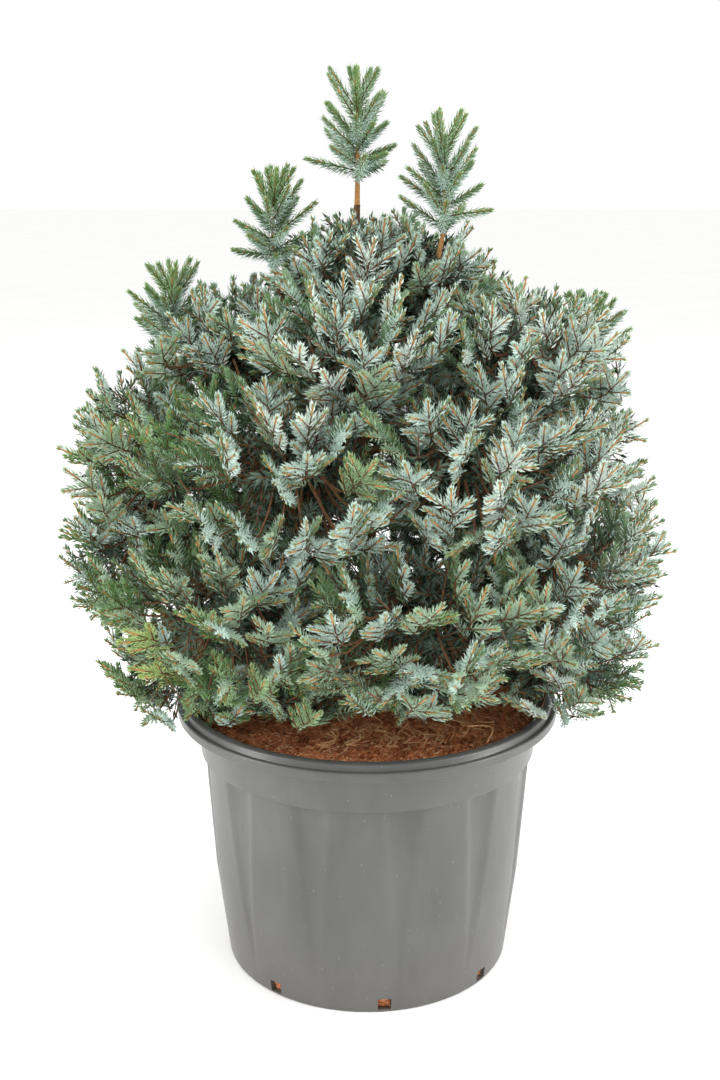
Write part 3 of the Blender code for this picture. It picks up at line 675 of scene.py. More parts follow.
@dataclass
class Boughs:
    """The limbs from the trunk to the masses: nearly level at first, then turning up."""

    trunk: Trunk
    source_points: int = 5
    sag: float = 0.30
    slope: float = 0.25
    taper: float = 1.55
    entry: float = 0.80
    leader_turn: float = 0.25
    rooted: float = 0.010
    rings: int = 26
    sides: int = 12
    relief: float = 0.10
    relief_length: float = 0.007
    relief_radius: float = 0.004
    crease: float = 60.0

    def entry_of(self, mass: Mass) -> tuple[np.ndarray, np.ndarray]:
        """Where the bough ends in the mass, and its direction there."""
        if mass.kind == "leader":
            foot = mass.centre - UP * self.entry * mass.half_sizes[2]
            inwards = unit(mass.start * (1, 1, 0) - mass.centre * (1, 1, 0))
            return foot, unit(UP - self.leader_turn * inwards)
        direction = unit(mass.centre - mass.start)
        spread = 1 / np.linalg.norm((mass.axes @ direction) / mass.half_sizes)
        return mass.centre - direction * self.entry * spread, direction

    def path(self, mass: Mass, count: int) -> np.ndarray:
        """Points of a cubic Bezier curve from the trunk's middle into the mass."""
        end, direction = self.entry_of(mass)
        span = np.linalg.norm(end - mass.start)
        first = mass.start + unit((end - mass.start) * (1, 1, self.slope)) * span * self.sag
        second = end - direction * span * self.sag
        share = np.linspace(0, 1, count)[:, None]
        return ((1 - share) ** 3 * mass.start + 3 * (1 - share) ** 2 * share * first
                + 3 * (1 - share) * share**2 * second + share**3 * end)

    def radii(self, mass: Mass, count: int) -> np.ndarray:
        """The bough's radii, tapering evenly from the trunk to the mass."""
        return mass.bough_radius * np.linspace(self.taper, 1.0, count)

    def stem_foot(self, mass: Mass) -> tuple[np.ndarray, np.ndarray]:
        """Where the stem inside a mass starts, just clear of its limb's tip, and its way."""
        if mass.name == "top_leader":
            heights = np.linspace(SOIL_TOP - self.rooted, self.trunk.top, self.trunk.line_points)
            limb = self.trunk.axis(heights)
        elif mass.has_bough():
            limb = self.path(mass, self.source_points)
        else:
            return mass.start, unit(mass.centre - mass.start)
        direction = unit(limb[-1] - limb[-2])
        return limb[-1] + direction * CLEARANCE, direction

    def build(self, masses: list[Mass], finish: Material) -> None:
        """Every bough as a tube with a low relief of bark, in one piece."""
        carried = [mass for mass in masses if mass.has_bough()]
        paths = np.stack([self.path(mass, self.rings) for mass in carried])
        radii = np.stack([self.radii(mass, self.rings) for mass in carried])
        angle = np.arange(self.sides) * math.tau / self.sides
        wheel = np.stack([np.cos(angle), np.sin(angle), 0 * angle], -1) * self.relief_radius
        rough = ripples(paths[:, :, None] + wheel, self.relief_length, SEED + 2)
        shape = tubes(paths, radii[..., None] * (1 + self.relief * rough), self.sides)
        names = [f"bough_{mass.name}" for mass in carried]
        make_plain_piece("boughs_bark", shape, finish, names, self.crease)


@dataclass
class Crown:
    """The masses of the crown, and the test of what space is a mass's own.

    The margin between masses is negative: their shoots mingle a little, so that no cleft
    between them shows the sky.
    """

    trunk: Trunk
    boughs: Boughs
    spiral: float = 0.080
    lowest_start: float = 0.035
    cell_margin: float = -0.10
    limb_margin: float = 0.006
    pot_margin: float = 0.012
    box_margin: float = 0.009
    reach_steps: int = 36
    reach_end: float = 0.999
    masses: list[Mass] = field(default_factory=list)
    limbs: list[tuple[np.ndarray, np.ndarray]] = field(default_factory=list)

    def __post_init__(self) -> None:
        """Works out the masses and the limbs."""
        for tier in TIERS:
            self.add_tier(tier)
        for leader in LEADERS:
            self.masses.append(Mass(
                leader.name, "leader", np.array(leader.centre), np.eye(3),
                np.array(leader.half_sizes), self.trunk.axis(leader.bough_start or self.trunk.top),
                leader.bough_radius))
        heights = np.linspace(SOIL_TOP, self.trunk.top, self.trunk.line_points)
        radii = self.trunk.radius(heights)
        radii[0] = self.trunk.buttress_reach + self.trunk.buttress_end_radius
        self.limbs.append((self.trunk.axis(heights), radii))
        count = self.boughs.source_points
        for mass in self.masses:
            if mass.has_bough():
                self.limbs.append((self.boughs.path(mass, count), self.boughs.radii(mass, count)))

    def add_tier(self, tier: Tier) -> None:
        """Works out a tier's masses, whose boughs climb round the trunk in a spiral."""
        level = sum(member[2] for member in tier.members) / len(tier.members)
        for number, (degrees, reach, height, scale) in enumerate(tier.members, 1):
            outwards, sideways = around(degrees)
            sizes = np.array(tier.half_sizes) * scale
            climb = self.spiral * (number / len(tier.members) - 0.5)
            rise = max(level - tier.bough_rise + climb, SOIL_TOP + self.lowest_start)
            self.masses.append(Mass(
                f"{tier.name}_{number}", tier.name, outwards * (reach - sizes[0]) + UP * height,
                np.stack([outwards, sideways, UP]), sizes, self.trunk.axis(rise),
                tier.bough_radius))

    def clear_of_limbs(self, points: np.ndarray) -> np.ndarray:
        """True for each point that stays clear of every limb."""
        clear = np.ones(points.shape[:-1], bool)
        for line, radii in self.limbs:
            for start, end, radius in zip(line, line[1:], radii):
                along = end - start
                share = np.clip(((points - start) @ along) / (along @ along), 0, 1)[..., None]
                away = np.linalg.norm(points - start - share * along, axis=-1)
                clear &= away > radius + self.limb_margin
        return clear

    def clear_of_pot(self, points: np.ndarray) -> np.ndarray:
        """True for each point above the root ball, or outside and above the pot's lip."""
        out = np.hypot(points[..., 0], points[..., 1])
        floor = np.where(out < MOUTH_RADIUS, SOIL_TOP, POT_HEIGHT) + self.pot_margin
        return (points[..., 2] > floor) | (out > LIP_RADIUS + self.pot_margin)

    def in_box(self, points: np.ndarray) -> np.ndarray:
        """True for each point well inside the model's box."""
        low, high = np.array(CAD_BOX[0]) + self.box_margin, np.array(CAD_BOX[1]) - self.box_margin
        return ((points > low) & (points < high)).all(axis=-1)

    def nearest(self, points: np.ndarray, mass: Mass) -> np.ndarray:
        """True for each point that is nearer to the mass than to its neighbours."""
        inside = mass.nearness(points)
        free = np.ones(inside.shape, bool)
        for other in self.masses:
            if other is not mass:
                free &= inside + self.cell_margin < other.nearness(points)
        return free

    def own_space(self, points: np.ndarray, mass: Mass, limbs: bool = True) -> np.ndarray:
        """True for each point in the mass's own space, and clear of the limbs if asked for."""
        free = (mass.nearness(points) <= 1.0) & self.clear_of_pot(points) & self.in_box(points)
        free &= self.nearest(points, mass)
        return free & self.clear_of_limbs(points) if limbs else free

    def reach_of(
        self, directions: np.ndarray, mass: Mass
    ) -> tuple[np.ndarray, np.ndarray, np.ndarray]:
        """How far the mass's space goes each way from its middle.

        Args:
            directions: unit vectors.
            mass: the mass.

        Returns:
            The lengths, whether each way ends in open air, and the lengths as shares of the
            ellipsoid's own reach.
        """
        spread = 1 / np.linalg.norm((directions @ mass.axes.T) / mass.half_sizes, axis=1)
        lengths = spread[:, None] * np.linspace(0, self.reach_end, self.reach_steps)
        points = mass.centre + directions[:, None, :] * lengths[..., None]
        free = self.clear_of_pot(points) & self.nearest(points, mass)
        open_air = free.all(axis=1)
        free &= self.in_box(points)
        free[:, 0] = True
        last = np.where(free.all(axis=1), self.reach_steps - 1, np.argmin(free, axis=1) - 1)
        found = lengths[np.arange(len(directions)), last]
        return found, open_air, found / spread


def bent(start: np.ndarray, bend: np.ndarray, end: np.ndarray, count: int) -> np.ndarray:
    """Quadratic Bezier curves as points: from each start, drawn by its bend, to its end."""
    share = np.linspace(0, 1, count)[:, None]
    start, bend, end = (place[..., None, :] for place in (start, bend, end))
    return (1 - share) ** 2 * start + 2 * (1 - share) * share * bend + share**2 * end


def golden_directions(count: int) -> np.ndarray:
    """Directions spread evenly over a ball, on a golden spiral."""
    place = np.arange(count) + 0.5
    height = 1 - 2 * place / count
    angle = math.pi * (1 + math.sqrt(5)) * place
    level = np.sqrt(1 - height**2)
    return np.stack([level * np.cos(angle), level * np.sin(angle), height], axis=1)


def spread_out(points: np.ndarray, count: int) -> np.ndarray:
    """The numbers of the given count of points, each as far as can be from those before."""
    if len(points) <= count:
        return np.arange(len(points))
    chosen = [int(np.argmax(points[:, 2]))]
    away = np.linalg.norm(points - points[chosen[0]], axis=1)
    while len(chosen) < count:
        chosen.append(int(np.argmax(away)))
        away = np.minimum(away, np.linalg.norm(points - points[chosen[-1]], axis=1))
    return np.array(chosen)


# Shoots and needles

# Slots of the twigs' two barks.
FRESH_WOOD, OLD_WOOD = 0, 1
# Leaders that are greener than the others.
GREEN_LEADERS = ("left_leader",)
# Needles that stand all round a shoot, and evenly along it.
ALL_ROUND = 360.0
EVEN_CROWDING = (0.0, 0.3, 0.6, 1.0)
# Roughness of a needle's green back, which is glossier than its waxy face.
GREEN_GLOSS = (0.40, 0.58)


@dataclass
class Shoots:
    """Many straight shoots as arrays: foot, tip, the side they show, and a tone number."""

    feet: np.ndarray
    tips: np.ndarray
    over: np.ndarray
    tones: np.ndarray

    def joined(self, other: "Shoots") -> "Shoots":
        """These shoots and the others."""
        return Shoots(*(np.concatenate([getattr(self, name), getattr(other, name)])
                        for name in ("feet", "tips", "over", "tones")))

    def chosen(self, which: np.ndarray) -> "Shoots":
        """Only the shoots that a mask or an index names."""
        return Shoots(self.feet[which], self.tips[which], self.over[which], self.tones[which])


@dataclass(frozen=True)
class NeedleRule:
    """How needles stand on a shoot: on a golden spiral, leaning more towards the tip.

    The crowding and the places tell which share of the needles stands up to which share of
    the shoot. Angles are in degrees: the lean at the foot and at the tip, the part of a turn
    that the needles spread over, and the stray of the lean.
    """

    count: int
    length: float
    width: float
    angles: tuple[float, float]
    spread: float = 250.0
    crowding: tuple[float, ...] = (0.0, 0.80, 0.86, 1.0)
    places: tuple[float, ...] = (0.02, 0.74, 0.88, 1.0)
    lift: float = 0.16
    gather: float = 1.3
    stem: float = 0.9 * MM
    stray: float = 6.0
    taper_places: tuple[float, ...] = (0.0, 0.12, 0.8, 1.0)
    tapers: tuple[float, ...] = (0.72, 1.0, 0.92, 0.62)
    length_shares: tuple[float, float] = (0.82, 1.14)
    width_shares: tuple[float, float] = (0.85, 1.15)

    def grow(self, shoots: Shoots, parts: MeshParts, rng: Generator) -> None:
        """Adds the needles: each turns a golden share further round and stands further up."""
        count, many = len(shoots.feet), self.count
        order = np.arange(many)
        share = np.interp((order + 0.5) / many, self.crowding, self.places)
        turn = (order * GOLDEN_SHARE + rng.random((count, 1))) % 1.0
        turn = 0.5 * np.sign(turn - 0.5) * np.abs(2 * turn - 1) ** self.gather
        angle = np.radians(turn * self.spread)[..., None]
        axis = shoots.tips - shoots.feet
        along = unit(axis)[:, None]
        side = unit(np.cross(along, shoots.over[:, None]))
        over = np.cross(side, along)
        radial = np.cos(angle) * over + np.sin(angle) * side
        lean = np.interp(share, (0, 1), self.angles) + rng.normal(0, self.stray, (count, many))
        lean = np.radians(lean)[..., None]
        way = unit(np.cos(lean) * along + np.sin(lean) * radial + over * self.lift)
        roots = shoots.feet[:, None] + axis[:, None] * share[:, None] + radial * self.stem
        taper = np.interp(share, self.taper_places, self.tapers)
        lengths = self.length * taper * rng.uniform(*self.length_shares, (count, many))
        widths = self.width * rng.uniform(*self.width_shares, (count, many))
        face = np.broadcast_to(along, way.shape)
        points, bloom, back = blades(roots.reshape(-1, 3), way.reshape(-1, 3),
                                     face.reshape(-1, 3), lengths.ravel(), widths.ravel())
        slots = np.repeat(shoots.tones * 2, 2 * many)
        parts.add(points, [bloom, back], [slots, slots + 1])


@dataclass(frozen=True)
class Bloom:
    """How blue the crown is from place to place: bluer up and to the right, with soft patches."""

    middle: float = 0.50
    rightwards: float = 0.35
    upwards: float = 0.30
    span: float = 0.4
    middle_height: float = 0.70
    patches: float = 0.22
    patch_size: float = 0.22
    stray: float = 0.20
    limits: tuple[float, ...] = (0.02, 0.36, 0.86)
    tones: tuple[Tone, ...] = (Tone.GREEN, Tone.SAGE, Tone.GLAUCOUS, Tone.SILVER)
    young_place: tuple[float, float, float] = (-0.300, -0.255, 0.560)
    young_reach: float = 0.055

    def tone_numbers(self, places: np.ndarray, rng: Generator) -> np.ndarray:
        """A tone for each branchlet; one spray on the left is young and yellow-green."""
        blue = self.middle + self.rightwards * places[:, 0] / self.span
        blue += self.upwards * (places[:, 2] - self.middle_height) / self.span
        blue += self.patches * ripples(places, self.patch_size, SEED + 5)
        draw = blue + rng.normal(0, self.stray, len(places))
        numbers = np.array([tone.number() for tone in self.tones])
        found = numbers[np.digitize(draw, self.limits)]
        young = np.linalg.norm(places - self.young_place, axis=1) < self.young_reach
        return np.where(young, Tone.YOUNG.number(), found)


@dataclass(frozen=True)
class Fan:
    """How a branchlet forks into a fan of shoots, with one shoot at its tip."""

    lift: float = 0.78
    stray: float = 0.24
    roll: float = 70.0
    turned_down: float = -0.2
    outwards: float = 0.55
    terminal: tuple[float, float] = (0.042, 0.056)
    lateral: tuple[float, float] = (0.030, 0.042)
    lateral_places: tuple[float, ...] = (0.006, 0.012, 0.026, 0.033, 0.048)
    lateral_from: float = 0.62
    lateral_angle: float = 46.0
    lateral_stray: float = 0.10
    lateral_outwards: float = 0.12
    odd_tones: float = 0.12
    twig_foot: float = 0.25
    twig_end: float = 0.9
    twig_bend: float = 0.05
    twig_points: int = 5


@dataclass(frozen=True)
class InnerGrowth:
    """How the old shoots inside a mass stand. Their needles carry painted shade: the old needles'
    deeper green, darkened further to the shade inside the crown.
    """

    shoots: int = 120
    depths: tuple[float, float] = (0.35, 0.84)
    length: float = 0.060
    lift: float = 0.3
    stray: float = 0.35
    tested: tuple[float, ...] = (0.3, 1.0)
    least_reach: float = 0.03


@dataclass(frozen=True)
class LeaderGrowth:
    """How a leading shoot carries its side shoots: in a spiral, steeper towards the top.

    Places are shares of the stem's length, and a rise is what climbs for each step outwards.
    """

    shoots: int = 28
    turn: float = 137.5
    turn_stray: float = 14.0
    first_place: float = 0.26
    place_span: float = 0.56
    place_power: float = 0.8
    place_stray: float = 0.03
    first_rise: float = 0.35
    rise_span: float = 1.5
    rise_power: float = 1.6
    rise_stray: tuple[float, float] = (-0.25, 0.45)
    longest: tuple[float, float] = (0.046, 0.074)
    first_tested: float = 0.016
    tested: int = 24
    shortest: float = 0.022
    stem_top: float = 0.985
    tip_room: float = 0.008
    stem_points: int = 6
    stem_bend: float = 0.3
    terminal_from: float = 0.65
    terminal_shows: tuple[float, float, float] = (0.1, -1.0, 0.0)
    main_share: float = 0.5
    beard_below: float = 0.2
    beard_length: float = 0.85
    beard_outwards: float = 0.3


@dataclass
class Wood:
    """The twigs and buds of all the masses: radii at foot and tip, and what is gathered."""

    branch: tuple[float, float] = (1.9 * MM, 1.2 * MM)
    inner: tuple[float, float] = (1.3 * MM, 0.9 * MM)
    old: tuple[float, float] = (1.0 * MM, 0.9 * MM)
    fresh: tuple[float, float] = (1.5 * MM, 1.1 * MM)
    stem_tip: float = 2.4 * MM
    leader_tip: float = 1.6 * MM
    fresh_from: float = 0.66
    sides: int = 3
    bud_sunk: float = 1.2 * MM
    bud_middle: float = 0.8 * MM
    bud_half_width: float = 1.15 * MM
    bud_length: float = 3.6 * MM
    twigs: dict[str, MeshParts] = field(default_factory=dict)
    buds: MeshParts = field(default_factory=MeshParts)

    def add(self, kind: str, paths: np.ndarray, radii: tuple[float, float], slot: int) -> None:
        """Adds twigs that taper evenly along their paths."""
        if len(paths):
            taper = np.broadcast_to(np.linspace(*radii, paths.shape[1]), paths.shape[:2])
            points, faces = tubes(paths, taper, self.sides)
            self.twigs.setdefault(kind, MeshParts()).add(points, faces, [slot, slot])

    def add_shoots(self, kind: str, shoots: Shoots) -> None:
        """Adds the shoots' own wood, old at the foot and fresh at the tip, and their buds."""
        turn = shoots.feet + (shoots.tips - shoots.feet) * self.fresh_from
        self.add(kind, np.stack([shoots.feet, turn], 1), self.old, OLD_WOOD)
        self.add(kind, np.stack([turn, shoots.tips], 1), self.fresh, FRESH_WOOD)
        self.add_buds(shoots)

    def add_buds(self, shoots: Shoots) -> None:
        """Adds a bud of eight faces at each tip: a square ring between two points."""
        along = unit(shoots.tips - shoots.feet)
        side = unit(np.cross(along, shoots.over))
        over = np.cross(side, along)
        middle = shoots.tips + along * self.bud_middle
        ring = [middle + way * self.bud_half_width for way in (side, over, -side, -over)]
        points = np.stack([shoots.tips - along * self.bud_sunk, *ring,
                           shoots.tips + along * self.bud_length], 1)
        base = (np.arange(len(along)) * 6)[:, None, None]
        here, after = np.arange(4) + 1, (np.arange(4) + 1) % 4 + 1
        faces = np.concatenate([np.stack([0 * here, after, here], -1),
                                np.stack([0 * here + 5, here, after], -1)])[None] + base
        flat = points.reshape(-1, 3)
        self.buds.add(flat, turned_out(flat, [faces.reshape(-1, 3)]), [0])

    def build(self) -> None:
        """Makes the twigs of each kind, and the buds, into pieces."""
        bark = [SHOOT_BARK.paint(), TWIG_BARK.paint()]
        for kind, parts in self.twigs.items():
            make_piece(f"twigs_{kind}", parts, bark, [])
        make_piece("buds", self.buds, [BUD_SCALES.paint()], [])


@dataclass
class Foliage:
    """The branchlets, shoots, needles, twigs and buds of every mass."""

    crown: Crown
    boughs: Boughs
    directions: int = 640
    area_each: float = 0.0034
    fewest: int = 4
    cleft_share: float = 0.34
    cleft_outwards: float = -0.05
    tip_shares: tuple[float, float] = (0.80, 0.99)
    fitting_lengths: tuple[float, ...] = (1.0, 0.80, 0.62)
    fitting_tests: tuple[float, ...] = (0.25, 0.6, 1.0)
    fitting_tip: float = 0.004
    inner_stem_points: int = 4
    bloom: Bloom = Bloom()
    fan: Fan = Fan()
    inner_growth: InnerGrowth = InnerGrowth()
    leader_growth: LeaderGrowth = LeaderGrowth()
    outer: NeedleRule = NeedleRule(38, 12.2 * MM, 2.7 * MM, (60.0, 18.0))
    inner: NeedleRule = NeedleRule(22, 17.0 * MM, 3.5 * MM, (70.0, 30.0), ALL_ROUND)
    tuft: NeedleRule = NeedleRule(5, 7.5 * MM, 1.7 * MM, (26.0, 10.0), ALL_ROUND,
                                  EVEN_CROWDING, (0.92, 0.95, 0.98, 1.0), 0.0)
    leader: NeedleRule = NeedleRule(84, 12.0 * MM, 2.0 * MM, (46.0, 16.0), ALL_ROUND,
                                    EVEN_CROWDING, (0.02, 0.3, 0.6, 1.0), 0.05)
    beard: NeedleRule = NeedleRule(60, 14.0 * MM, 2.0 * MM, (64.0, 40.0), 220.0, lift=0.1)
    wood: Wood = field(default_factory=Wood)

    def fitted(self, shoots: Shoots, mass: Mass) -> Shoots:
        """The shoots that stay in the mass's own space, some of them shortened to do so."""
        kept = np.zeros(len(shoots.feet))
        axis = shoots.tips - shoots.feet
        shares = np.array(self.fitting_tests)[None, :, None]
        for factor in self.fitting_lengths:
            samples = shoots.feet[:, None] + axis[:, None] * shares * factor
            samples[:, -1] += unit(axis) * self.fitting_tip
            free = self.crown.own_space(samples, mass).all(axis=1)
            kept[(kept == 0) & free] = factor
        grown = Shoots(shoots.feet, shoots.feet + axis * kept[:, None], shoots.over, shoots.tones)
        return grown.chosen(kept > 0)

    def branch_ways(self, mass: Mass) -> tuple[np.ndarray, np.ndarray]:
        """The ways from a mass's middle to its branchlets' tips, and how far its space goes.

        Branchlets go to the mass's open side and into the clefts beside it, evenly spread.
        """
        ways = golden_directions(self.directions)
        reach, open_air, share = self.crown.reach_of(ways, mass)
        cleft = (share > self.cleft_share) & (ways @ mass.axes[0] > self.cleft_outwards)
        shown = open_air | cleft
        ways, reach = ways[shown], reach[shown]
        area = float((reach**2).sum()) * 4 * math.pi / self.directions
        count = max(self.fewest, round(area / self.area_each))
        chosen = spread_out(ways * reach[:, None], count)
        return ways[chosen], reach[chosen]

    def branchlets(self, mass: Mass, rng: Generator) -> tuple[Shoots, np.ndarray]:
        """Branchlets from inside the mass to its open side, each a fan of six shoots.

        Args:
            mass: the mass.
            rng: the mass's own random numbers.

        Returns:
            The shoots that fit, and the curved paths of the twigs that carry them.
        """
        fan = self.fan
        ways, reach = self.branch_ways(mass)
        share = rng.uniform(*self.tip_shares, len(ways))
        tips = mass.centre + ways * (reach * share)[:, None]
        heading = unit(ways + UP * fan.lift + rng.normal(0, fan.stray, ways.shape))
        long = rng.uniform(*fan.terminal, len(ways))[:, None]
        level = unit(np.cross(heading, NEARLY_UP))
        over = np.cross(level, heading)
        roll = np.radians(rng.uniform(-fan.roll, fan.roll, len(ways)))[:, None]
        side = np.cos(roll) * level + np.sin(roll) * over
        over = np.cross(side, heading)
        over = over * np.where((over @ UP) < fan.turned_down, -1.0, 1.0)[:, None]
        shown = unit(over + fan.outwards * ways)
        tone = self.bloom.tone_numbers(tips, rng)
        found = Shoots(tips - heading * long, tips, shown, tone)
        angle = math.radians(fan.lateral_angle)
        for number, back in enumerate(fan.lateral_places):
            sign = 1 if number % 2 == 0 else -1
            away = heading * math.cos(angle) + side * math.sin(angle) * sign
            stray = rng.normal(0, fan.lateral_stray, away.shape)
            away = unit(away + stray + ways * fan.lateral_outwards)
            feet = tips - heading * (long * fan.lateral_from + back)
            length = rng.uniform(*fan.lateral, len(ways))[:, None]
            odd = rng.random(len(ways)) < fan.odd_tones
            tones = np.where(odd, np.roll(tone, 1), tone)
            found = found.joined(Shoots(feet, feet + away * length, shown, tones))
        ends = tips - heading * long * fan.twig_end
        deep = mass.centre + ways * (reach * fan.twig_foot)[:, None]
        paths = bent(deep, ends - heading * fan.twig_bend, ends, fan.twig_points)
        clear = self.crown.own_space(paths[:, 1:], mass).all(axis=1)
        return self.fitted(found, mass), paths[clear]

    def inner_shoots(self, mass: Mass, rng: Generator) -> Shoots:
        """Old shoots under the branchlets and towards the neighbours. Their needles are the old
        needles' deeper green, darkened further as painted shade of the crown's interior.
        """
        rule = self.inner_growth
        ways = golden_directions(rule.shoots)
        reach, _, _ = self.crown.reach_of(ways, mass)
        depth = rng.uniform(*rule.depths, len(ways))
        tips = mass.centre + ways * (reach * depth)[:, None]
        heading = unit(ways + UP * rule.lift + rng.normal(0, rule.stray, ways.shape))
        # The inner shoots take the darkest tone, which is partly the old needles' own green and
        # partly painted shade of the crown's interior.
        tones = np.full(len(ways), Tone.DARK.number())
        over = unit(np.cross(heading, rng.normal(size=ways.shape)))
        found = Shoots(tips - heading * rule.length, tips, over, tones)
        tested = np.array(rule.tested)[:, None]
        samples = found.feet[:, None] + (tips - found.feet)[:, None] * tested
        free = self.crown.own_space(samples, mass).all(axis=1)
        return found.chosen(free & (reach > rule.least_reach))

    def side_shoots(
        self, mass: Mass, stem: np.ndarray, rng: Generator
    ) -> list[tuple[np.ndarray, np.ndarray, np.ndarray]]:
        """A leader's side shoots that fit, each as its foot, its tip and the way it stands out."""
        rule = self.leader_growth
        steps = np.linspace(0, 1, len(stem))
        found = []
        for number in range(rule.shoots):
            share = number / (rule.shoots - 1)
            place = rule.first_place + rule.place_span * share**rule.place_power
            place += rng.uniform(-rule.place_stray, rule.place_stray)
            root = np.array([np.interp(place, steps, line) for line in stem.T])
            stray = rng.uniform(-rule.turn_stray, rule.turn_stray)
            outwards, _ = around(rule.turn * number + stray)
            rise = rule.first_rise + rule.rise_span * share**rule.rise_power
            heading = unit(outwards + UP * (rise + rng.uniform(*rule.rise_stray)))
            lengths = np.linspace(rule.first_tested, rng.uniform(*rule.longest), rule.tested)
            samples = root + heading * lengths[:, None]
            free = self.crown.own_space(samples, mass, limbs=False)
            room = lengths[-1] if free.all() else lengths[max(int(np.argmin(free)) - 1, 0)]
            if room > rule.shortest:
                found.append((root, root + heading * room, outwards))
        return found

    def leader_shoots(
        self, mass: Mass, rng: Generator
    ) -> tuple[Shoots, Shoots, np.ndarray]:
        """A leader's side shoots and its topmost one, on a stem that bends upright.

        Args:
            mass: the leader's space.
            rng: the leader's own random numbers.

        Returns:
            The upright shoots, the bearded ones under them, and the stem's path.
        """
        rule = self.leader_growth
        foot, way = self.boughs.stem_foot(mass)
        top = mass.centre + UP * (mass.half_sizes[2] * rule.stem_top - rule.tip_room)
        bend = foot + way * np.linalg.norm(top - foot) * rule.stem_bend
        stem = bent(foot, bend, top, rule.stem_points)
        shoots = self.side_shoots(mass, stem, rng)
        share = rule.terminal_from
        start = stem[-3] * (1 - share) + stem[-2] * share
        shoots.append((start, top, np.array(rule.terminal_shows)))
        feet, tips, over = (np.stack([shoot[part] for shoot in shoots]) for part in range(3))
        main = Tone.GREEN if mass.name in GREEN_LEADERS else Tone.SAGE
        is_main = rng.random(len(feet)) < rule.main_share
        tones = np.where(is_main, main.number(), Tone.GREEN.number())
        tones[-1] = Tone.FRESH.number()
        upright = Shoots(feet, tips, over, tones)
        low = feet[:-1, 2] < mass.centre[2] + rule.beard_below * mass.half_sizes[2]
        under = upright.chosen(np.append(low, False))
        under = Shoots(under.feet, under.feet + (under.tips - under.feet) * rule.beard_length,
                       -UP + rule.beard_outwards * under.over,
                       np.full(len(under.feet), Tone.GLAUCOUS.number()))
        return upright, under, stem

    def dress(self, mass: Mass, number: int, finishes: list[Material]) -> int:
        """Grows one mass and makes its needles a piece.

        Args:
            mass: the mass.
            number: its place in the crown, which seeds its random numbers.
            finishes: the waxy face and the back of every tone, in order.

        Returns:
            How many outer shoots it carries.
        """
        rng = np.random.default_rng(SEED + number)
        parts, wood = MeshParts(), self.wood
        if mass.kind == "leader":
            kind = "leaders"
            shoots, under, stem = self.leader_shoots(mass, rng)
            self.leader.grow(shoots, parts, rng)
            self.beard.grow(under, parts, rng)
            wood.add(kind, stem[None], (mass.bough_radius, wood.leader_tip), FRESH_WOOD)
        else:
            kind = mass.kind
            shoots, paths = self.branchlets(mass, rng)
            # The inner shoots, whose needles are painted dark as the shade inside the crown.
            dark = self.inner_shoots(mass, rng)
            self.outer.grow(shoots, parts, rng)
            self.inner.grow(dark, parts, rng)
            wood.add(kind, paths, wood.branch, OLD_WOOD)
            wood.add(kind, np.stack([dark.feet, dark.tips], 1), wood.inner, OLD_WOOD)
            foot, _ = self.boughs.stem_foot(mass)
            share = np.linspace(0, 1, self.inner_stem_points)[:, None]
            stem = foot + (mass.centre - foot) * share
            wood.add(kind, stem[None], (mass.bough_radius, wood.stem_tip), OLD_WOOD)
        fresh = np.full(len(shoots.feet), Tone.FRESH.number())
        self.tuft.grow(Shoots(shoots.feet, shoots.tips, shoots.over, fresh), parts, rng)
        wood.add_shoots(kind, shoots)
        make_piece(f"needles_{mass.name}", parts, finishes, [f"foliage_{mass.name}"])
        return len(shoots.feet)

    def build(self) -> None:
        """Dresses every mass, then makes the twigs and the buds."""
        finishes = []
        for tone in Tone:
            word = tone.name.lower()
            face, back = tone.value
            finishes.append(NeedleWax(f"{word} needle bloom", face).paint())
            finishes.append(NeedleWax(f"{word} needle back", back, GREEN_GLOSS).paint())
        shoots = sum(self.dress(mass, number, finishes)
                     for number, mass in enumerate(self.crown.masses))
        LOG.info("%d shoots", shoots)
        self.wood.build()


# Pot and root ball


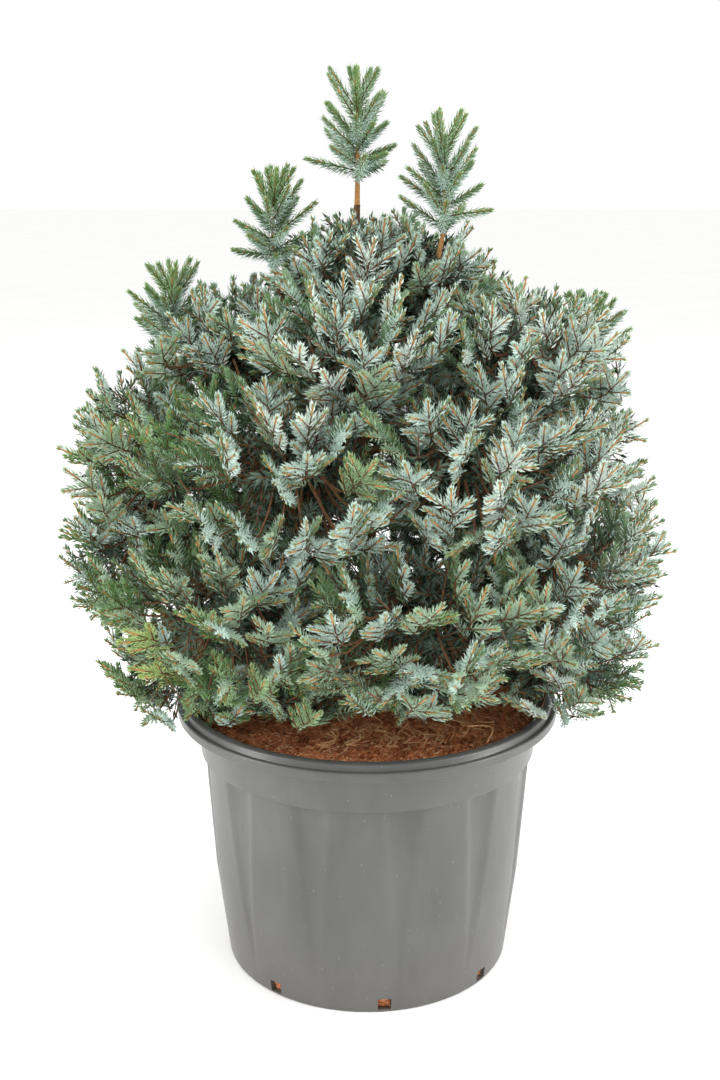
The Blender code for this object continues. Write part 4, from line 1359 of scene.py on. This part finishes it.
@dataclass
class Pot:
    """The nursery pot: a thin turned shell with a rolled lip, flutes and drain windows."""

    foot_radius: float = 0.1995
    foot_round: float = 0.004
    bulge: tuple[float, float] = (0.2160, 0.134)
    ledge: tuple[float, float] = (0.2285, 0.3090)
    band_step: float = 0.0050
    band_top: tuple[float, float] = (0.2385, 0.3615)
    lip_depth: float = 0.0225
    lip_crown: float = 0.2500
    groove: tuple[float, float] = (0.0080, 0.0090)
    edge: float = 0.0015
    crown_edges: tuple[float, float] = (4.2, 2.2)
    brow_edges: float = 1.6
    step_share: float = 0.8
    lip_wall: float = 0.0035
    body_wall: float = 0.0085
    floor: float = 0.0045
    flutes: int = 12
    first_flute: float = -49.0
    flute_width: float = 0.054
    flute_depth: float = 0.006
    flute_foot: float = 0.012
    flute_least: float = 1e-6
    drains: int = 8
    first_drain: float = -38.5
    drain_width: float = 0.018
    drain_high: float = 0.0215
    window_cells: int = 4
    plain_cells: int = 34
    wall_rows: int = 26
    band_points: int = 4
    hub_radius: float = 0.10
    crease: float = 32.0

    def inner(self) -> list[tuple[float, float]]:
        """The inside from the floor's edge to the mouth, as radius and height."""
        return [(self.wall(self.floor) - self.body_wall, self.floor),
                (self.wall(self.drain_high) - self.body_wall, self.drain_high),
                (self.bulge[0] - self.body_wall, self.bulge[1]),
                (self.ledge[0] - self.body_wall, self.ledge[1]),
                (self.band_top[0] - self.lip_wall, self.band_top[1])]

    def lip(self) -> list[tuple[float, float]]:
        """The mouth, the rounded crown, the groove and the turned-down lip.

        The small steps and roundings are told in shares of the edge's radius.
        """
        top, edge = POT_HEIGHT, self.edge
        wide, deep = (edge * share for share in self.crown_edges)
        brow_radius = edge * self.brow_edges
        out = self.lip_crown + self.groove[0]
        low = top - self.lip_depth
        mouth = [(MOUTH_RADIUS, top - 2 * edge), (MOUTH_RADIUS + 0.3 * edge, top - 0.6 * edge),
                 (MOUTH_RADIUS + edge, top)]
        turn = np.linspace(0, math.pi / 2, 5)
        crown = [(self.lip_crown + wide * math.sin(a), top - deep * (1 - math.cos(a)))
                 for a in turn]
        groove = [(out - 0.7 * edge, top - self.groove[1] + edge), (out, top - self.groove[1]),
                  (out + edge, top - self.groove[1] + 0.3 * edge)]
        brow = [(LIP_RADIUS - brow_radius * (1 - math.sin(a)),
                 top - self.groove[1] - brow_radius * (1 - math.cos(a))) for a in turn]
        foot = [(LIP_RADIUS, low + edge), (LIP_RADIUS - 0.4 * edge, low + 0.4 * edge),
                (LIP_RADIUS - edge, low), (self.band_top[0] + edge, low + 0.2 * edge)]
        return mouth + crown + groove + brow + foot

    def outside(self) -> list[tuple[float, float]]:
        """The band, the ledge and the wall down to the drains, then the rounded foot."""
        edge = self.edge
        band = [(self.band_top[0], self.band_top[1] - edge),
                (self.ledge[0] + self.band_step, self.ledge[1] + edge),
                (self.ledge[0] + self.step_share * self.band_step, self.ledge[1]),
                (self.ledge[0], self.ledge[1] - edge / 2)]
        heights = np.linspace(self.ledge[1] - edge, self.drain_high, self.wall_rows)
        wall = [(self.wall(height), float(height)) for height in heights]
        turn = np.linspace(0, math.pi / 2, 4)
        start = self.foot_radius - self.foot_round
        foot = [(start + self.foot_round * math.cos(a), self.foot_round * (1 - math.sin(a)))
                for a in turn]
        return band + wall + [(self.wall(self.floor), self.floor)] + foot

    def wall(self, height: float) -> float:
        """The wall's radius: straight from the foot to the bulge, and on to the ledge."""
        heights = (0.0, self.bulge[1], self.ledge[1])
        return float(np.interp(height, heights, (self.foot_radius, self.bulge[0], self.ledge[0])))

    def angles(self) -> np.ndarray:
        """Degrees round the pot, with a line on both jambs of every drain window."""
        half = math.degrees(self.drain_width / 2 / self.foot_radius)
        step = 360 / self.drains
        found = []
        for number in range(self.drains):
            start = self.first_drain + step * number - half
            end = start + 2 * half
            found.append(np.linspace(start, end, self.window_cells, endpoint=False))
            found.append(np.linspace(end, start + step, self.plain_cells, endpoint=False))
        return np.concatenate(found)

    def flute_cut(self, degrees: np.ndarray, heights: np.ndarray) -> np.ndarray:
        """How deep the flutes are: a round trough whose width and depth grow with height."""
        top = self.ledge[1] - self.edge / 2
        share = np.clip((heights - self.flute_foot) / (top - self.flute_foot), 0, 1)
        step = 360 / self.flutes
        off = (degrees - self.first_flute + step / 2) % step - step / 2
        across = np.radians(off)[None, :] * self.ledge[0]
        half = np.maximum(self.flute_width / 2 * share, self.flute_least)[:, None]
        bowl = np.clip(1 - (across / half) ** 2, 0, 1)
        return self.flute_depth * share[:, None] * (bowl * (3 - bowl) / 2)

    def build(self, finish: Material) -> None:
        """The shell as one closed grid, with the drain windows cut out and their jambs made."""
        inner, lip, outside = self.inner(), self.lip(), self.outside()
        hubs = [(self.hub_radius, self.floor)], [(self.hub_radius, 0.0)]
        profile = np.array(hubs[0] + inner + lip + outside + hubs[1])
        rows = len(profile)
        wall_from = 1 + len(inner) + len(lip) + self.band_points
        degrees = self.angles()
        columns = len(degrees)
        radii = np.repeat(profile[:, :1], columns, axis=1)
        fluted = np.arange(wall_from - 1, rows - 2)
        radii[fluted] -= self.flute_cut(degrees, profile[fluted, 1])
        grid = turned_grid(radii, profile[:, 1:], np.radians(degrees))
        points = np.concatenate([grid.reshape(-1, 3), [(0, 0, self.floor), (0, 0, 0)]])
        quads = wrapped_quads(rows, columns).reshape(rows - 1, columns, 4)
        window = (np.arange(columns) % (self.window_cells + self.plain_cells)) < self.window_cells
        inner_sill, outer_head = 1, wall_from + self.wall_rows - 1
        keep = np.ones(quads.shape[:2], bool)
        keep[inner_sill, window] = False
        keep[outer_head, window] = False
        jambs = self.jambs(np.flatnonzero(window), inner_sill, outer_head, columns)
        walls = np.concatenate([quads[keep], jambs])
        shape = points, turned_out(points, [walls, end_caps(rows, columns)])
        make_plain_piece("pot_shell", shape, finish, ["pot"], self.crease)

    def jambs(self, cells: np.ndarray, inner: int, outer: int, columns: int) -> np.ndarray:
        """The four sides of each window, between the inner and the outer wall.

        Args:
            cells: the columns that the windows take.
            inner: the row of the inner wall at the sill; the next one is at the head.
            outer: the row of the outer wall at the head; the next one is at the sill.
            columns: points in a row.

        Returns:
            Quads that close the wall round every window.
        """
        after = (cells + 1) % columns
        in_low, in_high = inner * columns, (inner + 1) * columns
        out_high, out_low = outer * columns, (outer + 1) * columns
        sill = np.stack([in_low + cells, in_low + after, out_low + after, out_low + cells], -1)
        head = np.stack([out_high + cells, out_high + after, in_high + after, in_high + cells], -1)
        left = cells[::self.window_cells]
        right = (cells[self.window_cells - 1::self.window_cells] + 1) % columns
        near = np.stack([in_low + left, out_low + left, out_high + left, in_high + left], -1)
        far = np.stack([in_high + right, out_high + right, out_low + right, in_low + right], -1)
        return np.concatenate([sill, head, near, far])


@dataclass(frozen=True)
class Fibres:
    """The strands of coir that lie on the mulch, in three browns; lengths in metres."""

    count: int = 4600
    length: tuple[float, float] = (0.006, 0.024)
    radius: tuple[float, float] = (0.00045, 0.00090)
    radius_shares: tuple[float, ...] = (0.7, 1.0, 0.6)
    from_rim: float = 0.008
    from_middle: float = 0.02
    lift: tuple[float, float] = (0.0, 0.0035)
    slope: float = 0.22
    bend: float = 0.35
    arch: float = 0.25
    shorter_beyond: tuple[float, float, float] = (1.2, 0.22, 0.25)
    browns: tuple[float, ...] = (0.30, 0.45, 0.25)


@dataclass(frozen=True)
class Chips:
    """The chips of husk between the fibres, lying almost flat."""

    count: int = 5200
    length: tuple[float, float] = (0.005, 0.012)
    width: tuple[float, float] = (0.003, 0.006)
    from_rim: float = 0.004
    from_middle: float = 0.01
    lift: tuple[float, float] = (-0.0005, 0.002)
    slope: float = 0.35
    tilt: float = 0.4
    set_back: float = 0.002
    browns: tuple[float, ...] = (0.40, 0.42, 0.18)


@dataclass(frozen=True)
class BareTwigs:
    """The bare curly twigs that hang over the mulch at the front and on the right."""

    count: int = 30
    turn: tuple[float, float] = (-20.0, 58.0)
    start_radius: tuple[float, float] = (0.14, 0.19)
    start_height: tuple[float, float] = (0.392, 0.415)
    length: tuple[float, float] = (0.03, 0.065)
    curl: tuple[float, float] = (0.006, 0.016)
    swing: float = 0.45
    sideways_waves: float = 12.0
    upright_waves: float = 7.0
    upright_share: float = 0.5
    sink: tuple[float, float] = (0.004, 0.020)
    over_soil: float = 0.006
    over_lip: float = 0.004
    radii: tuple[float, float] = (1.1 * MM, 0.6 * MM)
    points: int = 14
    sides: int = 5
    crease: float = 60.0


@dataclass(frozen=True)
class DrainRoots:
    """The fine roots behind each drain window."""

    count: int = 16
    across: float = 0.0075
    height: tuple[float, float] = (0.007, 0.019)
    depth: tuple[float, float] = (0.1900, 0.1955)
    slope: float = 0.6
    half_length: tuple[float, float] = (0.0015, 0.0035)
    tail: float = 0.012
    margin: float = 0.0012
    radius: float = 0.0007
    sides: int = 4


@dataclass
class RootBall:
    """The root ball under its mulch of coir, with fibres on top and roots at the drains."""

    pot: Pot
    rings: int = 70
    columns: int = 240
    top_hub: float = 0.004
    floor_hub: float = 0.020
    sunk: float = 0.002
    lump: float = 0.0034
    lump_size: float = 0.045
    crumb: float = 0.0012
    crumb_size: float = 0.008
    flat_within: float = 0.05
    crease: float = 70.0
    fibres: Fibres = Fibres()
    chips: Chips = Chips()
    bare_twigs: BareTwigs = BareTwigs()
    roots: DrainRoots = DrainRoots()

    def height(self, x: np.ndarray, y: np.ndarray) -> np.ndarray:
        """The mulch's height: broad lumps with crumbs on them, smooth at the middle."""
        flat = np.stack([x, y, 0 * x], -1)
        out = np.hypot(x, y)
        lumps = self.lump * ripples(flat, self.lump_size, SEED + 11)
        crumbs = self.crumb * ripples(flat, self.crumb_size, SEED + 12)
        return SOIL_TOP - self.sunk + (lumps + crumbs) * np.clip(out / self.flat_within, 0, 1)

    def bed(self, finish: Material) -> None:
        """The ball as a turned grid: the uneven top, then the side down to the pot's floor."""
        outer = np.array(self.pot.inner()) - (CLEARANCE, 0)
        floor = self.pot.floor + CLEARANCE
        side = [*outer[3:0:-1], (outer[0][0], floor), (self.floor_hub, floor)]
        top = np.linspace(self.top_hub, outer[-1][0], self.rings)
        angles = np.arange(self.columns) * math.tau / self.columns
        upper = turned_grid(top[:, None], np.zeros(1), angles)
        upper[..., 2] = self.height(upper[..., 0], upper[..., 1])
        lower = turned_grid(np.array(side)[:, :1], np.array(side)[:, 1:], angles)
        centres = np.array([(0, 0, SOIL_TOP - self.sunk), (0, 0, floor)])
        shape = closed_grid(np.concatenate([upper, lower]), centres)
        make_plain_piece("root_ball_mulch", shape, finish, ["root_ball"], self.crease)

    def scattered(self, rule: Fibres | Chips, rng: Generator) -> np.ndarray:
        """Places spread evenly over the mulch, at about its height."""
        rim = self.pot.inner()[-1][0] - rule.from_rim
        out = rim * np.sqrt(rng.uniform(rule.from_middle, 1, rule.count))
        turn = rng.uniform(0, math.tau, rule.count)
        x, y = out * np.sin(turn), -out * np.cos(turn)
        return np.stack([x, y, self.height(x, y) + rng.uniform(*rule.lift, rule.count)], -1)

    def strands(self, rng: Generator) -> MeshParts:
        """Fibres that lie on the mulch: bent tubes at random turns, shorter near the rim."""
        rule = self.fibres
        count = rule.count
        place = self.scattered(rule, rng)
        yaw = rng.uniform(0, math.tau, count)
        way = unit(np.stack([np.cos(yaw), np.sin(yaw), rng.normal(0, rule.slope, count)], -1))
        across = np.cross(way, UP)
        half = rng.uniform(*rule.length, count)[:, None] / 2
        start, span, least = rule.shorter_beyond
        out = np.linalg.norm(place[:, :2], axis=1)
        half = half * np.clip(start - out / span, least, 1)[:, None]
        bend = across * half * rng.normal(0, rule.bend, (count, 1)) + UP * half * rule.arch
        paths = np.stack([place - way * half, place + bend, place + way * half], 1)
        radius = rng.uniform(*rule.radius, count)[:, None] * np.array([rule.radius_shares])
        parts = MeshParts()
        brown = rng.choice(len(rule.browns), count, p=rule.browns)
        for slot in range(len(rule.browns)):
            chosen = brown == slot
            points, faces = tubes(paths[chosen], radius[chosen], 3)
            parts.add(points, faces, [slot, slot])
        return parts

    def add_chips(self, rng: Generator, parts: MeshParts) -> None:
        """Adds chips of husk, four-cornered and lying flat, between the fibres."""
        rule = self.chips
        count = rule.count
        place = self.scattered(rule, rng)
        way = unit(rng.normal(size=(count, 3)) * (1, 1, rule.slope))
        faces_to = unit(UP + rng.normal(0, rule.tilt, (count, 3)))
        lengths = rng.uniform(*rule.length, count)
        widths = rng.uniform(*rule.width, count)
        points, front, back = blades(place - way * rule.set_back, way, faces_to, lengths, widths)
        brown = np.repeat(rng.choice(len(rule.browns), count, p=rule.browns), 2)
        parts.add(points, [front, back], [brown, brown])

    def loose_twigs(self, rng: Generator, finish: Material) -> None:
        """The bare twigs: each runs outwards, swings aside, curls and sinks on its way."""
        rule = self.bare_twigs
        count = rule.count

        def drawn(limits: tuple[float, float]) -> np.ndarray:
            """One random value for each twig, for use along its points."""
            return rng.uniform(*limits, count)[:, None, None]

        turn = np.radians(rng.uniform(*rule.turn, count))
        ways = np.stack([np.sin(turn), -np.cos(turn), 0 * turn], -1)
        start = ways * rng.uniform(*rule.start_radius, (count, 1))
        start = start + UP * rng.uniform(*rule.start_height, (count, 1))
        across = np.cross(ways, UP)[:, None]
        share = np.linspace(0, 1, rule.points)[None, :, None]
        run = share * drawn(rule.length)
        curl = drawn(rule.curl)
        phase = drawn((0, math.tau))
        swing = rng.normal(0, rule.swing, count)[:, None, None]
        sink = drawn(rule.sink)
        wave = np.sin(share * rule.sideways_waves + phase) * curl * share
        nod = np.cos(share * rule.upright_waves + phase) * curl * rule.upright_share * share
        paths = start[:, None] + ways[:, None] * run + across * (wave + swing * run)
        paths = paths + UP * (nod - sink * share**2)
        out = np.hypot(paths[..., 0], paths[..., 1])
        floor = np.where(out < MOUTH_RADIUS - rule.over_soil, SOIL_TOP + rule.over_soil,
                         POT_HEIGHT + rule.over_lip)
        paths[..., 2] = np.maximum(paths[..., 2], floor)
        radii = np.broadcast_to(np.linspace(*rule.radii, rule.points), (count, rule.points))
        shape = tubes(paths, radii, rule.sides)
        make_plain_piece("bare_twigs", shape, finish, [], rule.crease)

    def drain_roots(self, rng: Generator, finish: Material) -> None:
        """Fine roots that fill the drain windows from behind."""
        rule = self.roots
        size = (rule.count, 1)
        paths = []
        for number in range(self.pot.drains):
            outwards, sideways = around(self.pot.first_drain + 360 * number / self.pot.drains)
            middle = sideways * rng.uniform(-rule.across, rule.across, size)
            middle = middle + UP * rng.uniform(*rule.height, size)
            middle = middle + outwards * rng.uniform(*rule.depth, size)
            way = sideways * rng.normal(0, 1, size) + UP * rng.normal(0, rule.slope, size)
            way = unit(way) * rng.uniform(*rule.half_length, size)
            paths.append(np.stack([middle - outwards * rule.tail, middle - way, middle + way], 1))
        whole = np.concatenate(paths)
        whole[..., 2] = np.clip(whole[..., 2], self.pot.floor + rule.margin,
                                self.pot.drain_high - rule.margin)
        shape = tubes(whole, np.full(whole.shape[:2], rule.radius), rule.sides)
        make_plain_piece("drain_roots", shape, finish, [])

    def build(self) -> None:
        """Makes the bed, the fibres and chips, the bare twigs and the roots at the drains."""
        rng = np.random.default_rng(SEED + 20)
        self.bed(COIR_BED.paint())
        browns = [COIR_DARK.paint(), COIR_RED.paint(), COIR_PALE.paint()]
        parts = self.strands(rng)
        self.add_chips(rng, parts)
        make_piece("mulch_fibres", parts, browns, [])
        self.loose_twigs(rng, DRY_TWIG.paint())
        self.drain_roots(rng, browns[1])


# Studio


@dataclass(frozen=True)
class Softbox:
    """A large soft lamp: where it stands, what it looks at, its size in metres and power."""

    name: str
    place: tuple[float, float, float]
    aim: tuple[float, float, float]
    size: tuple[float, float]
    power: float


@dataclass
class Studio:
    """A pale floor, soft lamps on both sides and above, and the camera of the photograph."""

    floor_size: float = 40.0
    sky_strength: float = 1.0
    lamps: tuple[Softbox, ...] = (
        Softbox("left softbox", (-2.3, -0.9, 1.5), (0.0, 0.0, 0.6), (0.8, 2.4), 52.0),
        Softbox("right softbox", (2.3, -0.7, 1.5), (0.0, 0.0, 0.6), (0.8, 2.4), 56.0),
        Softbox("top softbox", (0.2, -0.6, 3.0), (0.0, 0.0, 0.7), (2.4, 2.4), 56.0),
    )
    camera_place: tuple[float, float, float] = (-0.0102, -1.972, 1.148)
    camera_pitch: float = 15.43
    lens_mm: float = 50.0
    sensor_mm: float = 36.0

    def floor(self) -> None:
        """A level square of matt white paper."""
        half = self.floor_size / 2
        mesh = bpy.data.meshes.new("studio_floor")
        mesh.from_pydata([(-half, -half, 0), (half, -half, 0), (half, half, 0), (-half, half, 0)],
                         [], [(0, 1, 2, 3)])
        mesh.materials.append(PAPER.paint())
        made = bpy.data.objects.new("studio_floor", mesh)
        bpy.context.scene.collection.objects.link(made)

    def lights(self) -> None:
        """The softboxes and an even white surround."""
        world = bpy.data.worlds.new("studio")
        world.use_nodes = True
        bpy.context.scene.world = world
        # A white floor renders as white only without a film-like curve.
        bpy.context.scene.view_settings.view_transform = "Standard"
        surround = world.node_tree.nodes["Background"]
        surround.inputs["Color"].default_value = (1.0, 1.0, 1.0, 1.0)
        surround.inputs["Strength"].default_value = self.sky_strength
        for lamp in self.lamps:
            light = bpy.data.lights.new(lamp.name, "AREA")
            light.shape = "RECTANGLE"
            light.size, light.size_y = lamp.size
            light.energy = lamp.power
            made = bpy.data.objects.new(lamp.name, light)
            made.location = lamp.place
            way = Vector(lamp.aim) - Vector(lamp.place)
            made.rotation_euler = way.to_track_quat("-Z", "Y").to_euler()
            bpy.context.scene.collection.objects.link(made)

    def camera(self) -> None:
        """The camera at the photograph's place and angle."""
        data = bpy.data.cameras.new("camera")
        data.lens = self.lens_mm
        data.sensor_width = self.sensor_mm
        made = bpy.data.objects.new("camera", data)
        made.location = self.camera_place
        made.rotation_euler = (math.radians(90 - self.camera_pitch), 0.0, 0.0)
        bpy.context.scene.collection.objects.link(made)
        bpy.context.scene.camera = made

    def build(self) -> None:
        """Sets up the floor, the lights and the camera."""
        self.floor()
        self.lights()
        self.camera()


def write_sizes() -> None:
    """Brings the view layer up to date."""
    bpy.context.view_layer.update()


def main() -> None:
    """Builds the studio, the pot, the root ball, the wood and the crown, in that order."""
    logging.basicConfig(level=logging.INFO, format="%(message)s")
    Studio().build()
    pot = Pot()
    pot.build(POT_PLASTIC.paint())
    RootBall(pot).build()
    trunk = Trunk()
    boughs = Boughs(trunk)
    crown = Crown(trunk, boughs)
    bark = OLD_BARK.paint()
    trunk.build(bark)
    boughs.build(crown.masses, bark)
    Foliage(crown, boughs).build()
    write_sizes()


if __name__ == "__main__":
    main()
